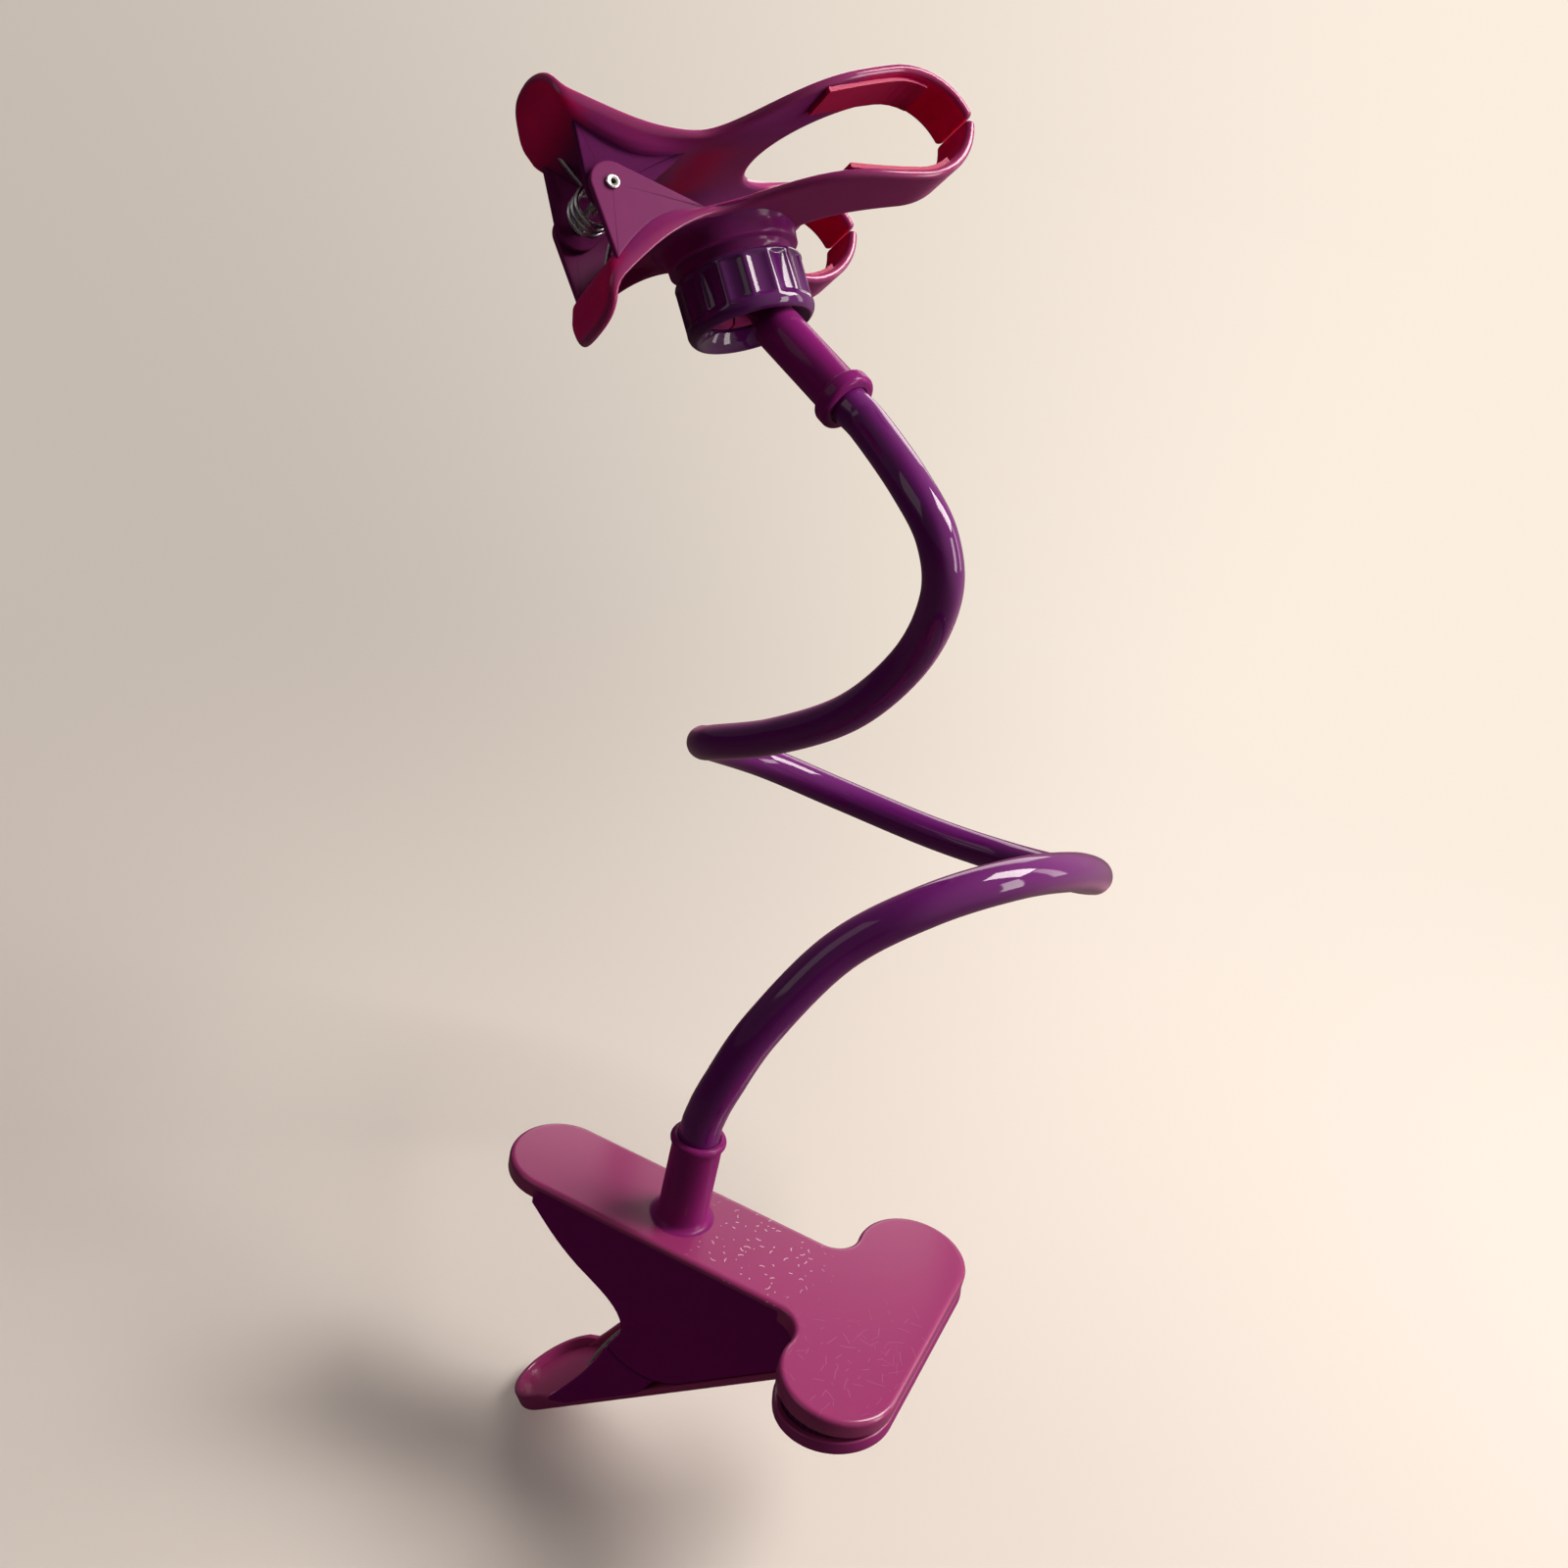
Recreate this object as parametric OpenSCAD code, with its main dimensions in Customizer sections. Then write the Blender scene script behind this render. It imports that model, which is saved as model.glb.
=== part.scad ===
// Flexible-arm phone holder: a sprung table clip, a bent gooseneck arm and a
// ball-jointed spring clamp with forked jaws for the phone.
// Millimetres. Origin at the centre of the table clip's grip, between its pads;
// +Z is the normal of the clip's upper plate, +X points out of the clip's mouth.

/* [Table clip] */
// Width of the clip's handles
handle_w = 32; // [26:0.5:38]
// Distance from the arm socket to the centre of the upper handle's round end
handle_reach = 41.4; // [36:0.2:50]
// Distance from the arm socket to the centres of the jaw lobes
lobe_x = 64; // [58:0.5:70]
// Half the distance between the two jaw lobes
lobe_y = 28; // [24:0.5:32]
// Radius of a jaw lobe
lobe_r = 16.6; // [14:0.1:19]
// Radius of the hollow between handle and lobe
waist_r = 8; // [5:0.5:10]
// Thickness of the clip's plates
plate_t = 2.4; // [1.8:0.1:3]
// Depth of the rim round the upper plate
rim_h = 5.4; // [4.6:0.1:7]
// Depth of the rim round the lower jaw
lower_rim_h = 4.4; // [4:0.1:6]
// Thickness of the rims
rim_t = 2.2; // [1.6:0.1:2.8]
// Radius of the rounded outer edges
edge_r = 1.2; // [0.6:0.1:1.6]
// Angle of the lower jaw to the upper one
jaw_splay = 9; // [6:0.5:12]
// Slope of the lower handle
handle_slope = 39.4; // [34:0.2:44]
// Thickness of the side walls
wall_t = 3; // [2.4:0.1:3.4]
// Thickness of the grip pads
clip_pad_t = 2; // [1.2:0.1:2.4]

/* [Clip hinge] */
// Hinge distance in front of the arm socket
hinge_fwd = 4; // [1:0.5:7]
// Hinge distance below the upper plate
hinge_drop = 28; // [25:0.5:31]
// Diameter of the hinge pin
clip_pin_d = 5; // [4:0.1:6]
// Radius of the walls' rounded end about the hinge
wall_sweep_r = 21; // [19:0.2:21.4]
// Wire diameter of the clip's spring
clip_wire_d = 2; // [1.4:0.1:2.4]
// Mean diameter of the clip spring's coil
clip_coil_d = 12.4; // [11:0.2:14]

/* [Arm] */
// Outer diameter of the arm
arm_d = 12; // [10:0.2:13]
// Diameter of the bendable core rod
core_d = 6.6; // [5:0.2:7]
// Height of the arm socket above the plate
socket_h = 29.6; // [24:0.4:34]
// Outer diameter of the arm socket
socket_d = 14.8; // [14.4:0.2:17]
// Length of the arm held in the socket
arm_grip = 25; // [18:1:28]
// Thread diameter of the fixing screw
screw_d = 3; // [2.5:0.1:3.5]

/* [Ball joint] */
// Diameter of the ball
ball_d = 16; // [14:0.2:16.8]
// Diameter of the stud's sleeve
sleeve_d = 14.4; // [14:0.2:15]
// Distance from the ball's centre to the end of the sleeve
sleeve_end = 54; // [48:1:60]
// Diameter of the collar on the sleeve
collar_d = 18.6; // [17:0.2:20]
// Diameter of the lock nut
nut_d = 39.6; // [38.6:0.2:42]
// Number of flutes round the nut
nut_flutes = 16; // [10:1:20]
// Depth of a flute
flute_depth = 0.9; // [0.4:0.1:1.2]
// Diameter of the split collet that holds the ball
collet_d = 30.8; // [30:0.2:31.4]

/* [Phone clamp] */
// Thickness of the clamp's jaws
jaw_t = 3; // [2.4:0.1:3.4]
// Half the distance between the outer faces of the rear jaw's ears
ear_y = 17.2; // [16:0.1:18]
// Thickness of an ear
ear_t = 2.4; // [2:0.1:2.6]
// Radius of an ear's round end
ear_r = 6.5; // [5:0.1:7.5]
// Diameter of the clamp's tubular rivet
rivet_d = 3.8; // [3.2:0.1:4.4]
// Half the width across the forks
fork_y = 45; // [42:0.5:48]
// Half the width of the gap in the forks
fork_gap_y = 27; // [24:0.5:29]
// Wire diameter of the clamp's spring
clamp_wire_d = 1.6; // [1.2:0.1:2]
// Mean diameter of the clamp spring's coil
clamp_coil_d = 12.8; // [11:0.2:14]
// Thickness of the soft pads on the forks
fork_pad_t = 1.4; // [1:0.1:2]

/* [Hidden] */
$fn = 64;

// Clearances: a turning fit, a seated fit, and the gap between parts that swing past each other
run_fit = 0.05;
seat_fit = 0.02;
swing_gap = 0.4;
seam = 0.3;
bond = 0.05;
eps = 0.01;

plastic = [0.50, 0.10, 0.36];
deep_plastic = [0.27, 0.05, 0.33];
steel = [0.72, 0.72, 0.74];
rubber = [0.20, 0.05, 0.18];

// The clip is drawn with the arm socket's axis at x = 0 and the plate's top at z = 0
plate_top = 6;
module place_clip() { translate([-lobe_x, 0, plate_top]) children(); }

// Clip outline
waist_y = handle_w / 2 + waist_r;
waist_x = lobe_x - sqrt(pow(lobe_r + waist_r, 2) - pow(lobe_y - waist_y, 2));
front_x = lobe_x + lobe_r;
// The hollow is a hair smaller than tangent, so that its faces meet the straight ones in clear edges
waist_step = 0.05;
hinge_at = [hinge_fwd, -hinge_drop];

// Lower handle: a straight plate from the bend under the lobes to its round end
lower_bend_at = [59.2, -13.5];
slope_dir = [cos(handle_slope), sin(handle_slope)];
slope_normal = [-sin(handle_slope), cos(handle_slope)];
lower_handle_len = 110.6;
function on_slope(along, off) = lower_bend_at - slope_dir * along + slope_normal * off;

// Head: place of the ball, direction of the stud and attitude of the clamp
ball_at = [-146.5, 101, 250];
stud_tilt = [0, 112.5, -18];
head_turn = [-36.5, -10.5, 57];
ball_in_head = [41.5, 0, -27.5];
stud_dir = [sin(stud_tilt[1]) * cos(stud_tilt[2]), sin(stud_tilt[1]) * sin(stud_tilt[2]), cos(stud_tilt[1])];
sleeve_bore_start = sleeve_end - 22;
module place_stud() { translate(ball_at) rotate(stud_tilt) children(); }
module place_head() { translate(ball_at) rotate(head_turn) translate(-ball_in_head) children(); }

// Arm route, chosen by hand along the bent arm
socket_floor = plate_top + socket_h - arm_grip;
arm_route = concat(
    [[-lobe_x, 0, socket_floor + seam], [-lobe_x, 0, plate_top + socket_h]],
    [[-63.5, 0.2, 43], [-61, 1, 54], [-55, 6, 74], [-42, 17, 100], [-24, 30, 117],
     [-7, 53, 123], [3, 85, 116], [5, 119, 101], [-6, 150, 84], [-30, 167, 73], [-62, 172, 69],
     [-98, 170, 71], [-127, 156, 79], [-139, 129, 91], [-128, 103, 104],
     [-101, 89, 121], [-76, 82, 141], [-60, 77, 165], [-53, 67, 189],
     [-57, 63, 206], [-70, 68, 217]],
    [ball_at + stud_dir * (sleeve_end + 10), ball_at + stud_dir * sleeve_end,
     ball_at + stud_dir * (sleeve_bore_start + seam)]);

// Vector and curve helpers
function unit(v) = v / norm(v);
function bezier(a, b, c, d, n) = [for (i = [0 : n]) let (t = i / n, s = 1 - t)
    s * s * s * a + 3 * s * s * t * b + 3 * s * t * t * c + t * t * t * d];
function spline_at(p, i, t) =
    let (a = p[max(i - 1, 0)], b = p[i], c = p[i + 1], d = p[min(i + 2, len(p) - 1)])
    0.5 * (2 * b + (c - a) * t + (2 * a - 5 * b + 4 * c - d) * t * t
           + (3 * b - a - 3 * c + d) * t * t * t);
function spline(p, steps) = concat(
    [for (i = [0 : len(p) - 2], k = [0 : steps - 1]) spline_at(p, i, k / steps)],
    [p[len(p) - 1]]);
function tangent(path, i) = unit(path[min(i + 1, len(path) - 1)] - path[max(i - 1, 0)]);
function side_vectors(path, i, last) =
    let (t = tangent(path, i), side = unit(last - (last * t) * t))
    i == len(path) - 1 ? [side] : concat([side], side_vectors(path, i + 1, side));
function ring(centre, along, side, r, sides) =
    let (up = cross(along, side))
    [for (k = [0 : sides - 1]) centre + r * (side * cos(360 * k / sides) + up * sin(360 * k / sides))];

// A round bar of radius r along a path, or a tube if it has a bore
module swept_bar(path, r, sides, start_side, bore_r = 0) {
    n = len(path);
    across = side_vectors(path, 0, start_side);
    outer = [for (i = [0 : n - 1]) each ring(path[i], tangent(path, i), across[i], r, sides)];
    inner = bore_r == 0 ? [] :
        [for (i = [0 : n - 1]) each ring(path[i], tangent(path, i), across[i], bore_r, sides)];
    skin = [for (i = [0 : n - 2], k = [0 : sides - 1]) let (j = (k + 1) % sides)
        [i * sides + k, (i + 1) * sides + k, (i + 1) * sides + j, i * sides + j]];
    shift = n * sides;
    last = (n - 1) * sides;
    lining = [for (f = skin) [shift + f[3], shift + f[2], shift + f[1], shift + f[0]]];
    plain_ends = [[for (k = [0 : sides - 1]) k], [for (k = [sides - 1 : -1 : 0]) last + k]];
    ring_ends = [for (k = [0 : sides - 1]) let (j = (k + 1) % sides) each
        [[k, j, shift + j, shift + k], [last + j, last + k, shift + last + k, shift + last + j]]];
    polyhedron(points = concat(outer, inner),
               faces = bore_r == 0 ? concat(skin, plain_ends) : concat(skin, lining, ring_ends),
               convexity = 10);
}

// Seen from above: rounded handle, hollow waists and two jaw lobes
module clip_plan(inset = 0) {
    half_w = handle_w / 2 - inset;
    translate([-handle_reach, 0]) circle(r = half_w);
    translate([-handle_reach, -half_w]) square([handle_reach + waist_x, 2 * half_w]);
    lobes_plan(inset);
    for (side = [0, 1]) mirror([0, side]) difference() {
        polygon([[waist_x - eps, 0], [lobe_x, 0], [lobe_x, lobe_y], [waist_x - eps, waist_y]]);
        translate([waist_x, waist_y]) circle(r = waist_r - waist_step + inset);
    }
}

// The two lobes and the straight front between them
module lobes_plan(inset = 0, back = 0) {
    for (side = [-1, 1]) translate([lobe_x, side * lobe_y]) circle(r = lobe_r - inset);
    translate([lobe_x - back, -lobe_y]) square([lobe_r - inset + back, 2 * lobe_y]);
}

// A tray: plate and rim, its outer edge rounded in steps; the plate's outer face is at z = 0
edge_steps = 4;
module tray(rim, lobes_only) {
    module plan(inset) {
        if (lobes_only) lobes_plan(inset, lower_back);
        else clip_plan(inset);
    }
    for (i = [0 : edge_steps - 1]) {
        low = edge_r * (1 - cos(90 * i / edge_steps));
        high = edge_r * (1 - cos(90 * (i + 1) / edge_steps));
        translate([0, 0, low]) linear_extrude(high - low + eps)
            plan(edge_r * (1 - sin(90 * (i + 0.5) / edge_steps)));
    }
    translate([0, 0, edge_r]) linear_extrude(plate_t - edge_r) plan(0);
    translate([0, 0, plate_t - eps]) linear_extrude(rim - plate_t + eps) difference() {
        plan(0);
        plan(rim_t);
    }
}
lower_back = lobe_r - 1.6;

// Side view of an upper wall: notch behind the hinge, sweep below it, slope under the plate
wall_end_x = 47;
wall_bottom = plate_t + 0.5;
sweep_from = -127;
sweep_to = handle_slope - 90;
function sweep_arc(r, from, to) = [for (i = [0 : 12])
    hinge_at + r * [cos(from + (to - from) * i / 12), sin(from + (to - from) * i / 12)]];
slope_foot = hinge_at + wall_sweep_r * [cos(sweep_to), sin(sweep_to)];
// Middle of a side wall; its face is set back a little from the rim's
wall_step = 0.1;
wall_y = handle_w / 2 - wall_step - wall_t / 2;
upper_notch = concat(
    bezier([-handle_reach - 2, -rim_h + 1], [-38, -11], [-32.5, -16.2], [-23, -21.6], 6),
    bezier([-23, -21.6], [-14, -26.2], [-4.8, -29.5], [-5.3, -38], 8));
module upper_wall_profile() {
    reach = (wall_end_x - slope_foot[0]) / slope_dir[0];
    polygon(concat(
        [[-handle_reach - 2, -plate_t / 2]],
        upper_notch,
        sweep_arc(wall_sweep_r, sweep_from, sweep_to),
        [slope_foot + reach * slope_dir, [wall_end_x, -plate_t / 2]]));
}

// Arm socket with a rolled lip and a filleted foot
module arm_socket() {
    foot_r = 1.6;
    lip_r = 1.4;
    rotate_extrude() difference() {
        union() {
            translate([0, -plate_t / 2]) square([socket_d / 2, socket_h + plate_t / 2 - lip_r]);
            translate([0, -eps]) square([socket_d / 2 + foot_r, foot_r]);
            translate([0, socket_h - 2 * lip_r]) square([socket_d / 2 - 0.6, 2 * lip_r]);
            translate([socket_d / 2 - 0.6, socket_h - lip_r]) circle(r = lip_r, $fn = 32);
        }
        translate([socket_d / 2 + foot_r, foot_r]) circle(r = foot_r, $fn = 32);
    }
}

module base_upper_jaw() {
    color(plastic) place_clip() difference() {
        union() {
            mirror([0, 0, 1]) tray(rim_h, false);
            for (side = [-1, 1]) translate([0, side * wall_y, 0])
                rotate([90, 0, 0]) linear_extrude(wall_t, center = true) upper_wall_profile();
            arm_socket();
            translate([0, 0, -screw_boss_h]) cylinder(d = screw_boss_d, h = screw_boss_h);
        }
        translate([0, 0, socket_h - arm_grip]) cylinder(d = arm_d + 0.3, h = arm_grip + 1);
        translate([0, 0, -screw_boss_h - 1]) cylinder(d = screw_d + 0.4, h = 40);
        translate([hinge_at[0], 0, hinge_at[1]]) rotate([90, 0, 0])
            cylinder(d = clip_pin_d + 2 * seat_fit, h = clip_pin_len + 2 * seat_fit, center = true);
    }
}
screw_boss_h = 8;
screw_boss_d = 11;
clip_pin_len = handle_w - 2.4;

// Lower jaw: splayed tray, sloping handle, inner ears on the pin and side flanges behind the sweep
lower_front_z = -rim_h - seam;
ear_inner_y = wall_y - wall_t / 2 - swing_gap;
clip_ear_t = 2.4;
clip_ear_r = 7.6;
module place_lower_tray() {
    translate([front_x, 0, lower_front_z]) rotate([0, -jaw_splay, 0])
        translate([-front_x, 0, 0]) children();
}
module place_slope() {
    translate([lower_bend_at[0], 0, lower_bend_at[1]]) rotate([0, -handle_slope, 0]) children();
}
lower_notch = bezier([-9.4, -46.9], [-11.5, -56], [-19, -68], [-26.6, -80.4], 8);
module lower_flange_profile() {
    polygon(concat(
        sweep_arc(wall_sweep_r + swing_gap + 0.2, -78, -125),
        lower_notch,
        [on_slope(lower_handle_len, plate_t / 2), on_slope(66, plate_t / 2)]));
}
module clip_ear_profile() {
    translate(hinge_at) circle(r = clip_ear_r);
    front_foot = on_slope(28, plate_t / 2);
    back_foot = on_slope(74, plate_t / 2);
    polygon([hinge_at + clip_ear_r * [cos(38), sin(38)], front_foot, back_foot,
             hinge_at + clip_ear_r * [cos(196), sin(196)]]);
}
module sloping_handle() {
    half_w = handle_w / 2;
    module plan(inset) {
        translate([-lower_handle_len, 0]) circle(r = half_w - inset);
        translate([-lower_handle_len, inset - half_w])
            square([lower_handle_len, handle_w - 2 * inset]);
    }
    linear_extrude(plate_t) plan(0);
    translate([0, 0, plate_t - eps]) linear_extrude(rim_h - plate_t) intersection() {
        difference() { plan(0); plan(rim_t); }
        translate([-lower_handle_len - handle_w, -handle_w]) square([handle_w + 14, 2 * handle_w]);
    }
}
module base_lower_jaw() {
    color(plastic) place_clip() difference() {
        union() {
            place_lower_tray() translate([0, 0, -lower_rim_h]) tray(lower_rim_h, true);
            difference() {
                place_slope() sloping_handle();
                place_lower_tray() translate([lobe_x - lower_back - 14, -handle_w, -lower_rim_h + plate_t])
                    cube([60, 2 * handle_w, 40]);
            }
            for (side = [-1, 1]) {
                translate([0, side * wall_y, 0])
                    rotate([90, 0, 0]) linear_extrude(wall_t, center = true) lower_flange_profile();
                translate([0, side * (ear_inner_y - clip_ear_t / 2), 0])
                    rotate([90, 0, 0]) linear_extrude(clip_ear_t, center = true) clip_ear_profile();
            }
        }
        translate([hinge_at[0], 0, hinge_at[1]]) rotate([90, 0, 0])
            cylinder(d = clip_pin_d + 2 * run_fit, h = 2 * handle_w, center = true);
    }
}

// Ribbed grip pads set in the two trays
pad_rib = 0.5;
module clip_pad_shape() {
    linear_extrude(clip_pad_t) lobes_plan(rim_t + seam, lower_back - rim_t - seam);
}
module base_upper_pad() {
    color(rubber) place_clip() translate([0, 0, -plate_t - bond - clip_pad_t]) clip_pad_shape();
}
module base_lower_pad() {
    color(rubber) place_clip() place_lower_tray()
        translate([0, 0, -lower_rim_h + plate_t + bond]) clip_pad_shape();
}

module base_hinge_pin() {
    color(steel) place_clip() translate([hinge_at[0], 0, hinge_at[1]]) rotate([90, 0, 0])
        cylinder(d = clip_pin_d, h = clip_pin_len, center = true);
}

// A torsion spring round the y axis: a leg, the coil from one angle to another and a leg; the legs
// are lists of [x, z] points
function coil(mean_r, pitch, from, to) = let (n = round((to - from) / 22))
    [for (i = [0 : n]) let (a = from + (to - from) * i / n)
        [mean_r * cos(a), pitch * (a - (from + to) / 2) / 360, mean_r * sin(a)]];
function leg(points, y) = [for (p = points) [p[0], y, p[1]]];

clip_coil_from = 270;
clip_coil_to = 270 + 360 * 4.5;
module base_spring() {
    r = clip_coil_d / 2;
    pitch = clip_wire_d + 0.5;
    half = pitch * (clip_coil_to - clip_coil_from) / 720;
    lower_leg = [[-22, -44.1], [-18, -31], [-12, -18.5], [-5.5, -8.8]];
    upper_leg = [[-5.5, 7.8], [-12, 12.5], [-20, 17.8], [-29, 23], [-32, 24.3]];
    path = concat(leg(lower_leg, -half), coil(r, pitch, clip_coil_from, clip_coil_to), leg(upper_leg, half));
    color(steel) place_clip() translate([hinge_at[0], 0, hinge_at[1]])
        swept_bar(path, clip_wire_d / 2, 8, [0, 1, 0]);
}

arm_steps = 4;
module arm_sheath() {
    color(deep_plastic) swept_bar(spline(arm_route, arm_steps), arm_d / 2, 12, [1, 0, 0], core_d / 2 + 0.3);
}
module arm_core() {
    color(steel) swept_bar(spline(arm_route, arm_steps), core_d / 2, 10, [1, 0, 0]);
}

// Screw up through the plate that holds the arm down in its socket
washer_t = 0.8;
module arm_fixing_screw() {
    head_h = 2.2;
    color(steel) place_clip() translate([0, 0, -screw_boss_h - washer_t - 2 * bond]) difference() {
        union() {
            translate([0, 0, -head_h]) cylinder(d = screw_d * 2, h = head_h);
            translate([0, 0, -eps]) cylinder(d = screw_d,
                h = screw_boss_h + washer_t + socket_h - arm_grip);
        }
        for (turn = [0, 90]) rotate([0, 0, turn]) translate([0, 0, -head_h])
            cube([screw_d * 1.2, 0.8, 2.4], center = true);
    }
}
module arm_screw_washer() {
    color(steel) place_clip() translate([0, 0, -screw_boss_h - washer_t - bond]) difference() {
        cylinder(d = screw_d * 3, h = washer_t);
        translate([0, 0, -1]) cylinder(d = screw_d + 0.4, h = washer_t + 2);
    }
}

// Ball, tapering neck and the sleeve that the arm goes into; z runs from ball to arm
neck_d = 9.2;
neck_end = 11;
taper_end = 17;
collar_h = 5.4;
module ball_stud() {
    r = 1.3;
    color(plastic) place_stud() difference() {
        union() {
            sphere(d = ball_d, $fn = 96);
            cylinder(d = neck_d, h = neck_end + eps);
            translate([0, 0, neck_end]) cylinder(d1 = neck_d, d2 = sleeve_d, h = taper_end - neck_end);
            translate([0, 0, taper_end - eps]) cylinder(d = sleeve_d, h = sleeve_end - taper_end - 1);
            translate([0, 0, sleeve_end - collar_h]) rotate_extrude() {
                square([collar_d / 2 - r, collar_h]);
                translate([0, r]) square([collar_d / 2, collar_h - 2 * r]);
                for (z = [r, collar_h - r]) translate([collar_d / 2 - r, z]) circle(r = r, $fn = 32);
            }
        }
        translate([0, 0, sleeve_bore_start]) cylinder(d = arm_d + 0.3, h = 40);
    }
}

// Ball joint, drawn about the ball's centre with w pointing down out of the nut
nut_top = -5;
nut_end = 13;
throat = 8;
nut_bore_d = collet_d + 2 * seam;
module place_joint() { place_head() translate(ball_in_head) rotate([180, 0, 0]) children(); }
module lock_nut() {
    bevel = 1.4;
    throat_d = 26.4;
    mouth_d = 35.2;
    flute_r = 9;
    color(deep_plastic) place_joint() difference() {
        rotate_extrude() polygon([
            [0, nut_top], [nut_d / 2 - bevel / 2, nut_top], [nut_d / 2, nut_top + bevel / 2],
            [nut_d / 2, nut_end - 2 * bevel], [nut_d / 2 - bevel, nut_end], [0, nut_end]]);
        translate([0, 0, nut_top - 1]) cylinder(d = nut_bore_d, h = throat - nut_top - 1.5);
        translate([0, 0, throat - 2.5 - eps]) cylinder(d1 = nut_bore_d, d2 = throat_d, h = 2.5 + 2 * eps);
        translate([0, 0, throat]) cylinder(d1 = throat_d, d2 = mouth_d, h = nut_end - throat + eps);
        for (i = [0 : nut_flutes - 1]) rotate([0, 0, 360 * (i + 0.5) / nut_flutes])
            translate([nut_d / 2 + flute_r - flute_depth, 0, nut_top + 1.2])
                cylinder(r = flute_r, h = nut_end - nut_top - 4.6);
    }
}

// Flared boss and split collet under the rear jaw
boss_low = -9;
module collet() {
    difference() {
        rotate_extrude() difference() {
            polygon(concat(
                [[0, -18]],
                bezier([25, -17], [20.4, -15.6], [20.2, -13], [20, boss_low], 6),
                [[17.4, boss_low], [17.4, nut_top - seam], [collet_d / 2, nut_top - seam],
                 [collet_d / 2, 5.2], [13.4, 7], [10.6, 7], [7.45, 3], [0, 3]]));
        }
        sphere(d = ball_d + 2 * run_fit, $fn = 96);
        translate([0, 0, 2]) cylinder(r = 7.45, h = 2);
        for (turn = [0 : 45 : 135]) rotate([0, 0, turn]) translate([-20, -0.6, nut_top + 1])
            cube([40, 1.2, 14]);
    }
}

// Phone clamp, drawn about its hinge: x to the jaw tips, z from rear jaw to front jaw.
// Middle of a jaw's thickness, from the handle's tip over the waist to the fork's tip
jaw_handle = bezier([-12.4, 39.5], [-4.5, 28], [9, 12.5], [30, 11], 12);
jaw_arm = bezier([30, 11], [45, 9.8], [65, 14.8], [85, 16], 10);
jaw_hook = bezier([85, 16], [95, 16.6], [106, 10], [107, -3], 10);
jaw_line = concat(jaw_handle, [for (i = [1 : len(jaw_arm) - 1]) jaw_arm[i]],
                  [for (i = [1 : len(jaw_hook) - 1]) jaw_hook[i]]);
function line_normal(line, i) = let (t = unit(line[min(i + 1, len(line) - 1)] - line[max(i - 1, 0)]))
    [-t[1], t[0]];
function shifted(line, d) = [for (i = [0 : len(line) - 1]) line[i] + d * line_normal(line, i)];
function reversed(line) = [for (i = [len(line) - 1 : -1 : 0]) line[i]];
function band(line, low, high) = concat(shifted(line, high), reversed(shifted(line, low)));

// Half of a jaw's plan: handle, waist, fork and the gap between its prongs
jaw_side = concat(
    bezier([-11, 0], [-11, 9.5], [-8.8, 15.3], [-2, 17.2], 10),
    bezier([-2, 17.2], [9, 18.8], [20, 18.4], [30, 20.6], 6),
    bezier([30, 20.6], [42, 23.5], [50, fork_y - 1], [72, fork_y - 0.4], 8),
    [[102, fork_y], [112, fork_y], [112, fork_gap_y]],
    [[96, fork_gap_y]],
    bezier([90, fork_gap_y - 0.4], [72, fork_gap_y - 2], [57.5, 15], [57.5, 0], 10));
module jaw_plan() {
    polygon(concat(jaw_side, [for (i = [len(jaw_side) - 2 : -1 : 1]) [jaw_side[i][0], -jaw_side[i][1]]]));
}
tip_gap = 0.3;
module jaw_sheet() {
    intersection() {
        rotate([90, 0, 0]) linear_extrude(2 * fork_y + 10, center = true)
            polygon(band(jaw_line, -jaw_t / 2, jaw_t / 2));
        linear_extrude(60) jaw_plan();
        translate([-40, -60, tip_gap]) cube([200, 120, 60]);
    }
}

// Triangular ears from a jaw's waist and handle to the rivet
function tangent_point(r, to, hand) = let (a = atan2(to[1], to[0]) + hand * acos(r / norm(to)))
    [r * cos(a), r * sin(a)];
ear_edge = [for (i = [3 : len(jaw_handle) - 1]) jaw_handle[i]];
module ears(outer_y) {
    for (side = [-1, 1]) translate([0, side * (outer_y - ear_t / 2), 0]) rotate([90, 0, 0])
        linear_extrude(ear_t, center = true) {
            circle(r = ear_r);
            polygon(concat([tangent_point(ear_r, ear_edge[len(ear_edge) - 1], -1)], reversed(ear_edge),
                           [tangent_point(ear_r, ear_edge[0], 1), [0, 0]]));
        }
}
module rivet_hole(d) {
    rotate([90, 0, 0]) cylinder(d = d, h = 60, center = true);
}
module rear_jaw() {
    color(plastic) difference() {
        union() {
            place_head() mirror([0, 0, 1]) {
                jaw_sheet();
                ears(ear_y);
            }
            place_joint() collet();
        }
        place_head() rivet_hole(rivet_d + 2 * seat_fit);
    }
}
module front_jaw() {
    color(plastic) place_head() difference() {
        union() {
            jaw_sheet();
            ears(ear_y - ear_t - swing_gap);
        }
        rivet_hole(rivet_d + 2 * run_fit);
    }
}

// Tubular rivet with rolled ends
rivet_hole_d = 2;
module clamp_hinge_rivet() {
    roll = 0.6;
    half_len = ear_y + 0.1;
    color(steel) place_head() rotate([90, 0, 0]) difference() {
        union() {
            cylinder(d = rivet_d, h = 2 * (half_len + roll), center = true);
            for (side = [0, 1]) mirror([0, 0, side]) translate([0, 0, half_len]) rotate_extrude()
                translate([rivet_d / 2, roll]) circle(r = roll, $fn = 24);
        }
        cylinder(d = rivet_hole_d, h = 60, center = true);
    }
}

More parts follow.
